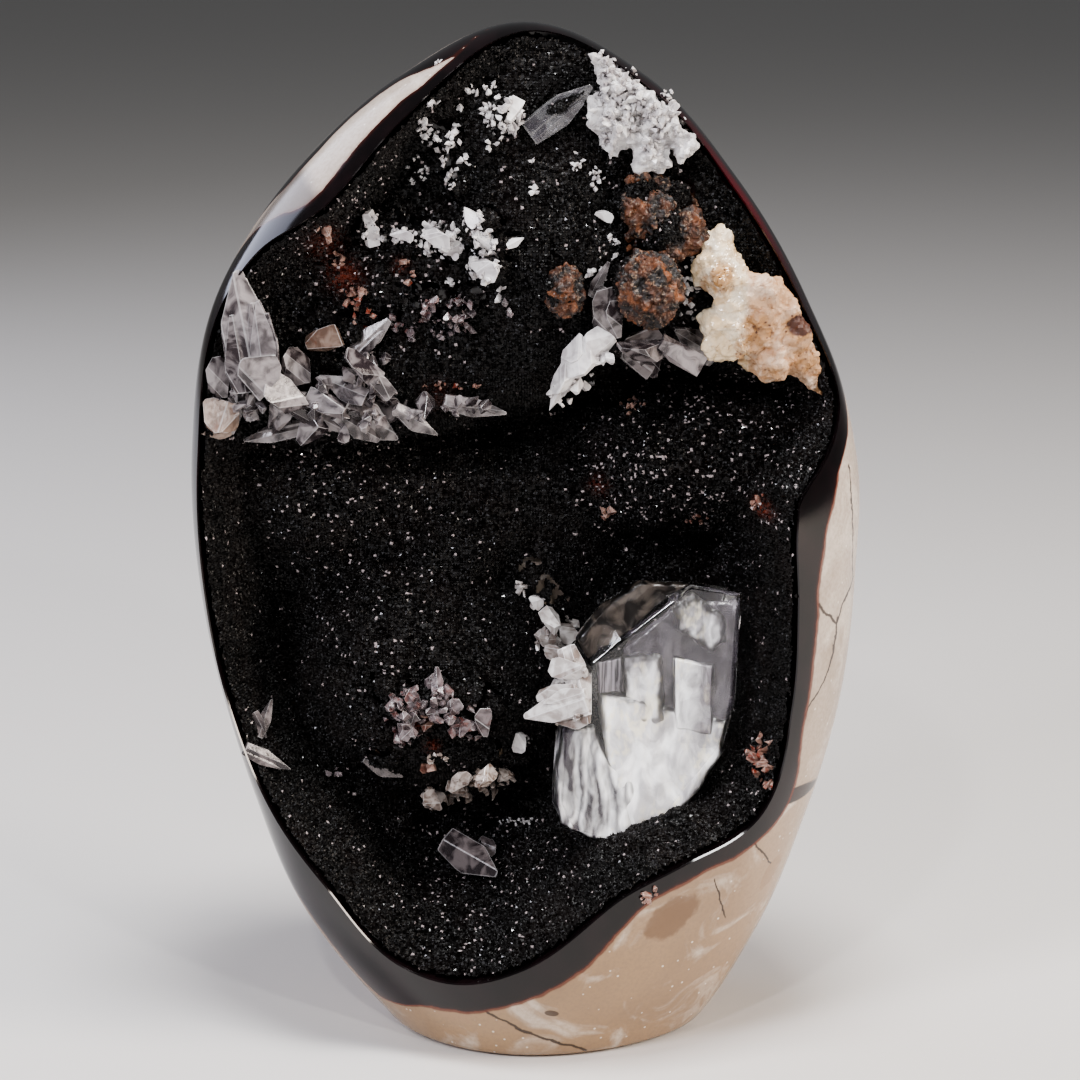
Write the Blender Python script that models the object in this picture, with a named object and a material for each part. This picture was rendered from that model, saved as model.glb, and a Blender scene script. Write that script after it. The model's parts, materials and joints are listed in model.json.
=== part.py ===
"""A septarian nodule: a limestone concretion, cut flat below and polished all round, whose front opens
into a hollow lined with dark druse and set with calcite crystals.

Metres, +Z up. The hollow faces -Y. The origin is at the middle of the flat cut that the nodule stands on.
"""

import math
import random

import bmesh
import bpy
import numpy as np
from mathutils import Matrix, Vector, noise
from mathutils.geometry import delaunay_2d_cdt

MM = 0.001

# The polished body. Seen from the front it is a lopsided egg, described by spokes from a centre point:
# (angle from +X in degrees, length in mm, share of that length at which the rim of the hollow lies).
CENTRE_X = -0.3 * MM
CENTRE_Z = 110.0 * MM
SPOKES = (
    (0, 77.4, 0.80),
    (20, 82.0, 0.80),
    (26, 83.8, 0.925),
    (31, 85.6, 0.978),
    (45, 91.4, 0.982),
    (62, 103.5, 0.984),
    (76, 117.4, 0.990),
    (90, 126.6, 0.990),
    (104, 117.7, 0.937),
    (116, 108.8, 0.908),
    (128, 101.2, 0.962),
    (138, 95.5, 0.976),
    (158, 83.0, 0.967),
    (180, 76.3, 0.972),
    (202, 77.0, 0.972),
    (220, 84.0, 0.94),
    (236, 97.0, 0.855),
    (252, 112.7, 0.82),
    (270, 135.8, 0.625),
    (288, 121.1, 0.585),
    (302, 104.4, 0.675),
    (318, 89.6, 0.83),
    (338, 80.4, 0.82),
)
MIDDLE_Y = -4.0 * MM  # the plane where the body is widest
FRONT_DEPTH = 49.4 * MM
BACK_DEPTH = 50.0 * MM
FULLNESS = 2.25  # 2 is an ellipse in section, more is boxier
PAST_THE_BODY = 80.0 * MM

# How finely the surfaces are faceted
RIM_POINTS = 76
RIM_SAMPLES = 1440
LATTICE_ROWS = 40
SIDE_RINGS = 3
BACK_SHARES = (0.985, 0.93, 0.84)
BACK_SPACING = 14.0 * MM
BACK_JITTER = 0.12
BACK_MARGIN = 0.6
HOLLOW_SPACING = 7.2 * MM
HOLLOW_MARGIN = 13.0 * MM

# The flat cut that the nodule stands on, with its softened edge
FOOT_EDGE_HEIGHT = 1.6 * MM
FOOT_EDGE_SHARE = 0.965

# The hollow and the crust of druse that lines it
WALL_LIP = 3.0 * MM
WALL_WIDTH = 8.0 * MM
WALL_SLOPE = 0.33  # width of the wall for its height, where it is high
WALL_RINGS = (4.0 * MM, 9.0 * MM)
GAP = 0.45 * MM
CRUST_BACK_INSET = 2.3 * GAP
CRUST_FRONT_INSET = 1.8 * GAP
CRUST_THICKNESS = 2.4 * MM
CRUST_LUMP = 1.3 * MM
CRUST_LUMP_SIZE = 8.0 * MM
LUMPS_FROM_RIM = 16.0 * MM
UPPER_PLATE_Y = -13.0 * MM
FLOOR_Y = 4.0 * MM
PLATE_EDGE = ((-75, 142), (-40, 141.5), (-22, 143), (-5, 148.5), (6, 151), (15, 162), (38, 164), (50, 158), (75, 152))
PLATE_EDGE_WIDTH = 8.0 * MM

# Forms of the lining: (x, z, half width, half height, turn in degrees, rise towards the front, squareness), mm
RELIEF = (
    (-12, 138.5, 36, 11, 6, -11, 2),  # the dark gap below the edge of the upper plate
    (27, 151, 30, 9, 8, -12, 2),
    (-52, 127, 27, 15, 0, 11, 2),  # the slope at the left
    (-12, 128, 46, 6, -4, 9, 2),  # the ridge across the middle
    (45, 138, 27, 14, 4, 16, 3.5),  # the shelf at the right
    (27, 140, 10, 8, 0, 5, 3),
    (60, 128, 12, 10, 0, 3, 3),
    (32, 110, 28, 8, 0, -7, 2.5),  # the recess below it
    (-23, 82, 29, 25, -15, 18, 6),  # the angular block in the middle
    (-33, 96, 10, 8, 20, 3, 3),
    (-63, 88, 11, 22, 0, -9, 2),  # the recess at its left
    (-14, 114, 14, 7, 8, 9, 3),
    (8, 108, 9, 8, 0, 8, 3),
    (-20, 35, 30, 16, 0, -6, 2),  # the bowl at the bottom
    (10, 42, 12, 9, 30, 5, 3),
    (-48, 47, 9, 12, 25, 6, 3),
    (-62, 64, 12, 16, 15, 8, 2),
    (26, 70, 19, 22, 0, 9, 3),  # the foot of the clear crystal
    (4.7, 188, 18, 20, 0, 7, 3),  # the dome of the upper plate
    (-30, 203, 18, 12, 35, -3, 2),
    (26, 203, 12, 9, 0, -3, 2),
    (-40, 170, 18, 9, -20, -3, 2),
    (-12, 213, 12, 8, 20, 3, 3),
    (-27, 182, 12, 7, -10, 3, 3),
)

# Crystals grown on the lining
CLEAR_OUTLINE = (
    (26.4, 112.1), (49.6, 109.8), (48.4, 82.0), (45.6, 70.8), (31.0, 51.5), (24.5, 48.4),
    (8.2, 52.5), (5.9, 57.5), (7.0, 76.0), (11.6, 98.4), (17.3, 106.7),
)
CLEAR_MIDDLE = (28.0, 80.0)
CLEAR_LAYERS = ((-26.5, 0.80), (-20.5, 0.97), (-13.0, 1.0), (-3.0, 0.86))  # y in mm, share of the outline
RIM_CLEARANCE = 1.4 * MM
FLAT_ANGLE = 0.4  # neighbouring facets that differ by less than this, in degrees, are one facet

random_draw = random.Random(7)


def clear_scene():
    """Remove whatever the file holds."""
    for thing in list(bpy.data.objects):
        bpy.data.objects.remove(thing, do_unlink=True)


def material(name, colour, roughness, metallic=0.0):
    """A plain finish in the part's colour."""
    made = bpy.data.materials.new(name)
    made.use_nodes = True
    shader = made.node_tree.nodes["Principled BSDF"]
    shader.inputs["Base Color"].default_value = (*colour, 1.0)
    shader.inputs["Roughness"].default_value = roughness
    shader.inputs["Metallic"].default_value = metallic
    return made


def place(name, bm, finish):
    """Turn a bmesh into a named object with its material."""
    mesh = bpy.data.meshes.new(name)
    bm.to_mesh(mesh)
    bm.free()
    thing = bpy.data.objects.new(name, mesh)
    bpy.context.scene.collection.objects.link(thing)
    mesh.materials.append(finish)
    return thing


def spoke_value(angle, column):
    """A column of SPOKES at any angle in radians, on a smooth closed curve through its rows."""
    degrees = math.degrees(angle) % 360.0
    count = len(SPOKES)
    after = next((i for i, row in enumerate(SPOKES) if row[0] > degrees), count)
    rows = [SPOKES[(after + k) % count] for k in (-2, -1, 0, 1)]
    turns = [360.0 * ((after + k) // count) for k in (-2, -1, 0, 1)]
    at = [row[0] + turn for row, turn in zip(rows, turns)]
    value = [row[column] for row in rows]
    width = at[2] - at[1]
    t = (degrees - at[1]) / width
    slope_in = (value[2] - value[0]) / (at[2] - at[0]) * width
    slope_out = (value[3] - value[1]) / (at[3] - at[1]) * width
    return (
        (2 * t**3 - 3 * t**2 + 1) * value[1]
        + (t**3 - 2 * t**2 + t) * slope_in
        + (3 * t**2 - 2 * t**3) * value[2]
        + (t**3 - t**2) * slope_out
    )


def section_depth(share):
    """How deep the body is at a share of its spoke, from 1 at the middle to 0 at the outline."""
    return (1.0 - min(share, 1.0) ** FULLNESS) ** (1.0 / FULLNESS)


def body_point(angle, share, back=False):
    """A point of the polished surface."""
    reach = spoke_value(angle, 1) * MM * share
    depth = BACK_DEPTH if back else -FRONT_DEPTH
    return Vector(
        (
            CENTRE_X + reach * math.cos(angle),
            MIDDLE_Y + depth * section_depth(share),
            CENTRE_Z + reach * math.sin(angle),
        )
    )


def rim_point(angle):
    """A point of the rim of the hollow, on the polished surface."""
    return body_point(angle, spoke_value(angle, 2))


def even_angles(count):
    """Angles at which the rim's points stand about evenly apart."""
    angles = [2 * math.pi * i / RIM_SAMPLES for i in range(RIM_SAMPLES + 1)]
    points = [rim_point(a) for a in angles]
    run = [0.0]
    for first, second in zip(points, points[1:]):
        run.append(run[-1] + (second - first).length)
    return [float(np.interp(run[-1] * i / count, run, angles)) for i in range(count)]


def smooth_step(value):
    """0 below 0, 1 above 1 and an S-curve between."""
    value = min(max(value, 0.0), 1.0)
    return value * value * (3.0 - 2.0 * value)


def polar(x, z):
    """Angle and distance of a point from the body's centre, seen from the front."""
    return math.atan2(z - CENTRE_Z, x - CENTRE_X), math.hypot(x - CENTRE_X, z - CENTRE_Z)


def inset_of(x, z):
    """How far inside the rim a point lies, seen from the front."""
    angle, reach = polar(x, z)
    rim = rim_point(angle)
    return math.hypot(rim.x - CENTRE_X, rim.z - CENTRE_Z) - reach


def relief(x, z):
    """The rise of the lining's forms towards the front at a point."""
    rise = 0.0
    for middle_x, middle_z, half_x, half_z, turn, height, squareness in RELIEF:
        away_x, away_z = x / MM - middle_x, z / MM - middle_z
        c, s = math.cos(math.radians(turn)), math.sin(math.radians(turn))
        along, across = (away_x * c + away_z * s) / half_x, (away_z * c - away_x * s) / half_z
        rise += height * math.exp(-(math.hypot(along, across) ** squareness))
    return rise * MM


def lining_y(x, z):
    """Where the lining lies from front to back, without its lumps."""
    edge = float(np.interp(x / MM, *zip(*PLATE_EDGE))) * MM
    above = smooth_step((z - edge) / PLATE_EDGE_WIDTH + 0.5)
    flat = FLOOR_Y + (UPPER_PLATE_Y - FLOOR_Y) * above - relief(x, z)
    rim = rim_point(polar(x, z)[0]).y + WALL_LIP
    width = max(WALL_WIDTH, WALL_SLOPE * (flat - rim))
    return rim + (flat - rim) * smooth_step(inset_of(x, z) / width)


def lattice(spacing, is_inside, jitter=0.0):
    """Points on a grid of even triangles, seen from the front, where is_inside says so."""
    row_height = spacing * math.sqrt(3) / 2
    points = []
    for row in range(-LATTICE_ROWS, LATTICE_ROWS + 1):
        for column in range(-LATTICE_ROWS, LATTICE_ROWS + 1):
            x = CENTRE_X + (column + 0.5 * (row % 2)) * spacing
            z = CENTRE_Z + row * row_height
            x += random_draw.uniform(-jitter, jitter)
            z += random_draw.uniform(-jitter, jitter)
            if is_inside(x, z):
                points.append((x, z))
    return points


def triangulate(outline, rings):
    """Triangles over an outline and the points inside it, as index triples that face -Y."""
    flat = [Vector(p) for p in outline + rings]
    count = len(outline)
    edges = [(i, (i + 1) % count) for i in range(count)]
    result = delaunay_2d_cdt(flat, edges, [], 1, 1e-9)
    order = [source[0] for source in result[3]]
    return [tuple(order[i] for i in face) for face in result[2]]


def hollow_outline(angles):
    """The hollow, seen from the front: the foot of its lip, then the points inside, and the triangles."""
    lip = []
    for angle in angles:
        rim = rim_point(angle)
        inward = Vector((CENTRE_X - rim.x, CENTRE_Z - rim.z)).normalized() * GAP
        lip.append((rim.x + inward.x, rim.z + inward.y))
    inside = []
    for inset in WALL_RINGS:
        for angle in angles:
            rim = rim_point(angle)
            inward = Vector((CENTRE_X - rim.x, CENTRE_Z - rim.z)).normalized() * inset
            inside.append((rim.x + inward.x, rim.z + inward.y))
    inside += lattice(HOLLOW_SPACING, lambda x, z: inset_of(x, z) > HOLLOW_MARGIN, HOLLOW_SPACING * 0.22)
    return lip, inside, triangulate(lip, inside)


def hollow_surface(angles):
    """The hollow's wall and floor in the limestone: points, triangles facing the opening, and normals."""
    lip, inside, triangles = hollow_outline(angles)
    points = [Vector((x, rim_point(a).y + WALL_LIP, z)) for a, (x, z) in zip(angles, lip)]
    points += [Vector((x, lining_y(x, z) + CRUST_THICKNESS + GAP, z)) for x, z in inside]
    normals = [Vector((0.0, 0.0, 0.0)) for _ in points]
    facing = []
    for triangle in triangles:
        a, b, c = (points[i] for i in triangle)
        normal = (b - a).cross(c - a)
        if normal.y > 0:
            triangle = triangle[::-1]
            normal = -normal
        facing.append(triangle)
        for i in triangle:
            normals[i] += normal
    return points, facing, [n.normalized() for n in normals]


def fill_band(bm, lower, upper):
    """Faces between two rings of equal length."""
    count = len(lower)
    for i in range(count):
        j = (i + 1) % count
        bm.faces.new((lower[i], lower[j], upper[j], upper[i]))


def make_nodule(angles, hollow, finish):
    """The limestone body: polished outside, hollow in front, cut flat below."""
    bm = bmesh.new()
    rings = [[bm.verts.new(rim_point(a)) for a in angles]]
    for ring in range(1, SIDE_RINGS + 1):
        row = []
        for a in angles:
            start = math.asin(spoke_value(a, 2) ** (FULLNESS / 2))
            turn = start + (math.pi / 2 - start) * ring / SIDE_RINGS
            row.append(bm.verts.new(body_point(a, math.sin(turn) ** (2 / FULLNESS))))
        rings.append(row)
    for share in BACK_SHARES:
        rings.append([bm.verts.new(body_point(a, share, back=True)) for a in angles])
    for first, second in zip(rings, rings[1:]):
        fill_band(bm, first, second)

    # the back, inside the last ring
    limit = BACK_SHARES[-1]

    def well_inside(x, z):
        angle, reach = polar(x, z)
        return reach < spoke_value(angle, 1) * MM * limit - BACK_SPACING * BACK_MARGIN

    outline = [(v.co.x, v.co.z) for v in rings[-1]]
    inner = lattice(BACK_SPACING, well_inside, BACK_SPACING * BACK_JITTER)
    back = list(rings[-1])
    for x, z in inner:
        angle, reach = polar(x, z)
        back.append(bm.verts.new(body_point(angle, reach / (spoke_value(angle, 1) * MM), back=True)))
    for triangle in triangulate(outline, inner):
        bm.faces.new([back[i] for i in triangle])

    # the hollow in front
    points, triangles, _ = hollow
    floor = [bm.verts.new(p) for p in points]
    fill_band(bm, floor[: len(angles)], rings[0])
    for triangle in triangles:
        bm.faces.new([floor[i] for i in triangle])
    bmesh.ops.recalc_face_normals(bm, faces=bm.faces)
    cut_foot(bm)
    return place("nodule", bm, finish)


def cut_foot(bm):
    """Cut the body flat at the floor, and soften the edge of the cut."""
    everything = list(bm.verts) + list(bm.edges) + list(bm.faces)
    bmesh.ops.bisect_plane(bm, geom=everything, plane_co=(0, 0, FOOT_EDGE_HEIGHT), plane_no=(0, 0, 1))
    everything = list(bm.verts) + list(bm.edges) + list(bm.faces)
    bmesh.ops.bisect_plane(bm, geom=everything, plane_co=(0, 0, 0), plane_no=(0, 0, 1), clear_inner=True)
    border = [e for e in bm.edges if e.is_boundary]
    bmesh.ops.holes_fill(bm, edges=border)
    foot = {v for e in border for v in e.verts}
    middle = sum((v.co for v in foot), Vector()) / len(foot)
    for v in foot:
        v.co.x = middle.x + (v.co.x - middle.x) * FOOT_EDGE_SHARE
        v.co.y = middle.y + (v.co.y - middle.y) * FOOT_EDGE_SHARE
        v.co.z = 0.0
    bmesh.ops.recalc_face_normals(bm, faces=bm.faces)


def crust_layers(angles, hollow):
    """The back and front points of the crust, both on the hollow's triangles."""
    points, _, normals = hollow
    rim_count = len(angles)
    back, front = [], []
    for i, (point, normal) in enumerate(zip(points, normals)):
        if i < rim_count:
            rim = rim_point(angles[i])
            inward = Vector((CENTRE_X - rim.x, 0, CENTRE_Z - rim.z)).normalized()
            back.append(rim + inward * CRUST_BACK_INSET + Vector((0, WALL_LIP - GAP, 0)))
            front.append(rim + inward * CRUST_FRONT_INSET + Vector((0, GAP, 0)))
            continue
        lump = noise.noise(point / CRUST_LUMP_SIZE) + random_draw.uniform(-0.5, 0.5)
        lump *= smooth_step(inset_of(point.x, point.z) / LUMPS_FROM_RIM)
        back.append(point + normal * GAP)
        front.append(point + normal * (GAP + CRUST_THICKNESS + CRUST_LUMP * lump))
    return back, front


def make_crust(angles, hollow, finish):
    """The druse that lines the hollow, as one skin with a lumpy front."""
    back, front = crust_layers(angles, hollow)
    triangles = hollow[1]
    bm = bmesh.new()
    behind = [bm.verts.new(p) for p in back]
    ahead = [bm.verts.new(p) for p in front]
    for triangle in triangles:
        bm.faces.new([ahead[i] for i in triangle])
        bm.faces.new([behind[i] for i in reversed(triangle)])
    fill_band(bm, behind[: len(angles)], ahead[: len(angles)])
    bmesh.ops.recalc_face_normals(bm, faces=bm.faces)
    return place("druse_crust", bm, finish), back, front


def make_keep_out(name, angles, surface, triangles, finish):
    """All that lies from a little in front of a surface to far behind it, as a cutter."""
    bm = bmesh.new()
    near = [bm.verts.new(p - Vector((0, GAP, 0))) for p in surface]
    behind = [bm.verts.new((p.x, PAST_THE_BODY, p.z)) for p in surface]
    for triangle in triangles:
        bm.faces.new([near[i] for i in triangle])
        bm.faces.new([behind[i] for i in reversed(triangle)])
    fill_band(bm, behind[: len(angles)], near[: len(angles)])
    bmesh.ops.recalc_face_normals(bm, faces=bm.faces)
    return place(name, bm, finish)


def make_hollow_prism(angles, finish):
    """The way into the hollow from the front, a little inside its rim, which trims crystals at the rim."""
    bm = bmesh.new()
    layers = []
    for y in (-PAST_THE_BODY, PAST_THE_BODY):
        row = []
        for a in angles:
            rim = rim_point(a)
            inward = Vector((CENTRE_X - rim.x, 0, CENTRE_Z - rim.z)).normalized() * RIM_CLEARANCE
            row.append(bm.verts.new((rim.x + inward.x, y, rim.z + inward.z)))
        layers.append(row)
    fill_band(bm, layers[0], layers[1])
    bm.faces.new(layers[0])
    bm.faces.new(layers[1])
    bmesh.ops.recalc_face_normals(bm, faces=bm.faces)
    return place("hollow_prism", bm, finish)


def combine(target, tool, operation, keep_tool=False, solver="EXACT"):
    """Join, cut or trim a piece by another with a Boolean."""
    modifier = target.modifiers.new(operation, "BOOLEAN")
    modifier.operation = operation
    modifier.object = tool
    modifier.solver = solver
    bpy.context.view_layer.update()
    evaluated = target.evaluated_get(bpy.context.evaluated_depsgraph_get())
    mesh = bpy.data.meshes.new_from_object(evaluated)
    target.modifiers.clear()
    target.data = mesh
    if not keep_tool:
        bpy.data.objects.remove(tool, do_unlink=True)


def hull(name, points, finish):
    """The convex solid around some points, in mm."""
    bm = bmesh.new()
    corners = [bm.verts.new(Vector(p) * MM) for p in points]
    result = bmesh.ops.convex_hull(bm, input=corners)
    loose = {v for v in result["geom_interior"] + result["geom_unused"] if isinstance(v, bmesh.types.BMVert)}
    bmesh.ops.delete(bm, geom=list(loose), context="VERTS")
    bmesh.ops.dissolve_limit(bm, angle_limit=math.radians(1), verts=bm.verts, edges=bm.edges)
    bmesh.ops.triangulate(bm, faces=bm.faces)
    bmesh.ops.recalc_face_normals(bm, faces=bm.faces)
    return place(name, bm, finish)


def blade_points(centre, direction, length, width, thickness, roll=0.0, sides=5, point=0.4):
    """Corners of a bladed calcite crystal in mm: a flattened column that runs to a wedge-like tip."""
    along = Vector(direction).normalized()
    turn = along.to_track_quat("Z", "Y").to_matrix() @ Matrix.Rotation(math.radians(roll), 3, "Z")
    corners = []
    for height, share in ((-0.5, 0.75), (-0.3, 1.0), (0.5 - point, 0.95)):
        for k in range(sides):
            a = 2 * math.pi * (k + 0.5) / sides
            corners.append(
                Vector((math.cos(a) * width / 2 * share, math.sin(a) * thickness / 2 * share, height * length))
            )
    corners += [Vector((width * 0.10, 0, 0.5 * length)), Vector((-width * 0.06, 0, 0.46 * length))]
    return [Vector(centre) + turn @ c for c in corners]


def rhomb_points(centre, size, seed):
    """Corners of a small calcite rhomb in mm, turned by chance."""
    draw = random.Random(seed)
    turn = Matrix.Rotation(draw.uniform(0, 6.3), 3, "X") @ Matrix.Rotation(draw.uniform(0, 6.3), 3, "Z")
    stretch = draw.uniform(0.8, 1.3)
    corners = []
    for i in (-0.5, 0.5):
        for j in (-0.5, 0.5):
            for k in (-0.5, 0.5):
                corner = Vector((i + 0.3 * j, j + 0.25 * k, k * stretch)) * size
                corners.append(Vector(centre) + turn @ corner)
    return corners


def on_lining(x, z, proud=0.0):
    """The place in mm of something that stands on the lining at a point, a little proud of it."""
    return (x, lining_y(x * MM, z * MM) / MM - proud, z)


def fuse_all(name, shapes, finish):
    """One solid from several overlapping ones."""
    first = hull(name, shapes[0], finish)
    for i, shape in enumerate(shapes[1:]):
        combine(first, hull(f"{name}_{i}", shape, finish), "UNION")
    return first


def seat(piece, keep_out, prism):
    """Trim a group of crystals at the rim, and seat it on the crust with a fine gap."""
    combine(piece, prism, "INTERSECT", keep_tool=True)
    combine(piece, keep_out, "DIFFERENCE", keep_tool=True)


def clear_crystal_shapes():
    """The large clear calcite: its main body and the plates grown on its left side."""
    middle_x, middle_z = CLEAR_MIDDLE
    body = []
    for y, share in CLEAR_LAYERS:
        body += [(middle_x + (x - middle_x) * share, y, middle_z + (z - middle_z) * share) for x, z in CLEAR_OUTLINE]
    shapes = [body]
    plates = (
        (3.5, -15, 74, (-0.9, -0.4, 0.2), 18, 13),
        (6.5, -17, 83, (-0.5, -0.4, 0.8), 19, 12),
        (2.0, -12, 69, (-1.0, -0.2, -0.4), 14, 10),
        (9.0, -15, 91, (-0.6, -0.3, 0.9), 15, 9),
    )
    for x, y, z, direction, length, width in plates:
        shapes.append(blade_points((x, y, z), direction, length, width, 5.0, roll=75, point=0.22))
    return shapes


def blade_cluster_shapes():
    """The bladed calcite at the left: one tall blade, points round its foot, and blades that hang below."""
    shapes = [
        [(-70, -13, 150), (-64, -17, 147), (-50, -17, 148), (-38, -15, 150), (-40, -16, 157), (-55, -17, 158),
         (-69, -15, 157), (-66, -5, 152), (-42, -5, 153)],
        blade_points((-61.5, -19, 167), (-0.12, -0.12, 1.0), 31, 12.5, 7, roll=12, point=0.45),
    ]
    points = (
        (-69, 155, -0.5, 0.7, 15), (-65, 152, -0.3, -0.3, 13), (-59, 150, -0.1, -0.7, 13), (-53, 151, 0.2, -0.8, 13),
        (-56, 157, 0.1, 0.6, 15), (-50, 159, 0.5, 0.8, 16), (-46, 154, 0.7, 0.2, 15), (-42, 150, 0.5, -0.7, 13),
        (-43, 160, 0.3, 0.9, 15), (-37, 157, 0.9, 0.5, 13), (-36, 163, 0.5, 0.9, 13), (-38, 151, 0.9, -0.3, 13),
        (-48, 148, 0.0, -0.9, 12),
    )
    for i, (x, z, lean_x, lean_z, length) in enumerate(points):
        shapes.append(blade_points((x, -15.5, z), (lean_x, -0.9, lean_z), length, 7.5, 4.5, roll=37 * i, point=0.45))
    hanging = ((-35, 148.5, 13), (-28, 148, 13), (-21, 148.5, 12), (-13.5, 150.5, 12), (-7, 153, 11))
    for i, (x, z, length) in enumerate(hanging):
        shapes.append(blade_points((x, -15, z), (0.95, -0.2, -0.1 + 0.15 * (i % 2)), length, 7, 6, roll=20 * i))
    return shapes


def cream_shapes():
    """The cream calcite mass at the right rim: blocky lobes grown into each other."""
    lobes = (
        (44, 181, -17, 15, 14, 12), (51, 176, -17, 18, 17, 13), (58, 170, -15, 17, 17, 12),
        (64, 162, -12, 14, 15, 11), (47, 168, -16, 17, 15, 11), (56, 162, -14, 17, 14, 11),
        (66, 157, -10, 11, 11, 9), (43.5, 187.5, -16, 9, 9, 9),
    )
    shapes = []
    for i, (x, z, y, width, height, depth) in enumerate(lobes):
        draw = random.Random(40 + i)
        corners = []
        for k in range(22):
            away = Vector((draw.gauss(0, 1), draw.gauss(0, 1), draw.gauss(0, 1))).normalized()
            corners.append((x + away.x * width / 2, y + away.y * depth / 2, z + away.z * height / 2))
        shapes.append(corners)
    return shapes


def bridge_shapes():
    """The translucent crystals along the edge of the upper lining, in the middle."""
    rows = (
        (8, 155, 0.5, 1.0, 13, 7), (13, 160, 0.7, 0.7, 13, 7), (19, 164, 0.9, 0.3, 14, 8), (27, 165, 1.0, 0.1, 15, 8),
        (35, 164, 1.0, -0.2, 13, 8), (17, 171, 0.0, 1.0, 13, 6), (14, 177, -0.3, 1.0, 10, 5), (9, 151, 0.1, -1.0, 9, 5),
    )
    shapes = []
    for i, (x, z, lean_x, lean_z, length, width) in enumerate(rows):
        shapes.append(blade_points((x, -15.5, z), (lean_x, -0.3, lean_z), length, width, 7, roll=31 * i, point=0.35))
    return shapes


def white_crust_shapes():
    """The patch of white crystals below the top, at the right: rhombs heaped on each other."""
    shapes = [[(18, -16, 227), (32, -16, 219), (34, -15, 212), (27, -16, 208), (17, -16, 216), (24, -7, 217)]]
    grains = (
        (18, 229), (20, 223), (17, 217), (24, 225), (23, 218), (28, 221), (30, 215), (34, 214), (26, 211),
        (29, 208), (32, 219), (21, 213), (36, 211),
    )
    for i, (x, z) in enumerate(grains):
        shapes.append(rhomb_points((x, -14.5, z), 6.0, 90 + i))
    return shapes


def small_grains():
    """Small crystals scattered on the lining: (x, z, size), mm."""
    grains = [
        (-19, 217.5, 4), (-22.5, 211.5, 4), (-17, 212, 4), (-19, 206, 3.5), (-15, 201, 4), (-5, 217, 5),
        (-34.5, 191.5, 6), (-17, 187, 4), (-7, 183, 5), (-5, 189, 4), (-9, 193, 5),
        (-17, 173, 5), (-22, 176, 4), (-12, 176, 4), (-26, 172, 4), (-40, 168, 5), (-35, 172, 4),
        (-45, 171, 4), (54, 128, 3.5), (48.5, 71, 4), (47, 66.5, 4.5), (5, 104, 4),
        (7, 100, 5), (4, 95, 5), (1, 109, 3.5), (-60.5, 77, 6), (-8, 66.5, 4),
    ]
    rows = ((-30, 192, -12, 188, 5, 4.5), (-33, 84, -8, 79, 6, 5), (-30, 79, -14, 74, 4, 5), (-24, 55, -3, 63, 5, 4))
    for x1, z1, x2, z2, count, size in rows:
        for i in range(count):
            t = i / (count - 1)
            wave = 2.2 * math.sin(5.1 * i)
            grains.append((x1 + (x2 - x1) * t, z1 + (z2 - z1) * t + wave, size))
    return grains


def fuse_onto(crust, grain, stone_keep_out):
    """Fuse a small thing onto the crust, with what would reach into the stone cut away.

    The exact solver tears edges where a grain just grazes the skin, so this uses the manifold one.
    """
    combine(grain, stone_keep_out, "DIFFERENCE", keep_tool=True, solver="MANIFOLD")
    combine(crust, grain, "UNION", solver="MANIFOLD")


def add_lumps(crust, stone_keep_out, finish):
    """Fuse the small crystals, the brown lumps and a few lone blades onto the crust."""
    for i, (x, z, size) in enumerate(small_grains()):
        grain = hull(f"grain_{i}", rhomb_points(on_lining(x, z, size * 0.22), size, i), finish)
        fuse_onto(crust, grain, stone_keep_out)
    for i, (x, z, size) in enumerate(((27.5, 179.5, 16), (31, 191, 12), (26, 198, 11), (8, 178, 10), (34, 199, 8))):
        bm = bmesh.new()
        bmesh.ops.create_icosphere(bm, subdivisions=2 if size > 10 else 1, radius=size / 2 * MM)
        middle = Vector(on_lining(x, z, size * 0.2)) * MM
        for v in bm.verts:
            v.co = v.co * (1 + 0.22 * noise.noise(v.co / (3.5 * MM) + Vector((i, 0, 0)))) + middle
        fuse_onto(crust, place(f"lump_{i}", bm, finish), stone_keep_out)
    lone = (
        (8, 219, (0.8, -0.4, 0.5), 15, 7), (-60, 66.5, (1.0, -0.2, -0.3), 11, 4.5), (-13, 37, (0.9, -0.5, -0.3), 12, 7),
        (-33, 65, (1.0, -0.3, 0.0), 9, 4),
    )
    for i, (x, z, direction, length, width) in enumerate(lone):
        corners = blade_points(on_lining(x, z, 1.5), direction, length, width, 4, roll=15)
        fuse_onto(crust, hull(f"lone_{i}", corners, finish), stone_keep_out)


def connected(start):
    """The points that hang together with a point."""
    found, waiting = {start}, [start]
    while waiting:
        for edge in waiting.pop().link_edges:
            for v in edge.verts:
                if v not in found:
                    found.add(v)
                    waiting.append(v)
    return found


def tidy_mesh(piece):
    """Drop the chips that a cut leaves loose beside the main body, join flat facets and triangulate."""
    bm = bmesh.new()
    bm.from_mesh(piece.data)
    rest, bodies = set(bm.verts), []
    while rest:
        body = connected(next(iter(rest)))
        rest -= body
        bodies.append(body)
    largest = max(bodies, key=len)
    bmesh.ops.delete(bm, geom=[v for v in bm.verts if v not in largest], context="VERTS")
    bmesh.ops.dissolve_limit(bm, angle_limit=math.radians(FLAT_ANGLE), verts=bm.verts, edges=bm.edges)
    bmesh.ops.triangulate(bm, faces=bm.faces)
    bm.to_mesh(piece.data)
    bm.free()


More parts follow.
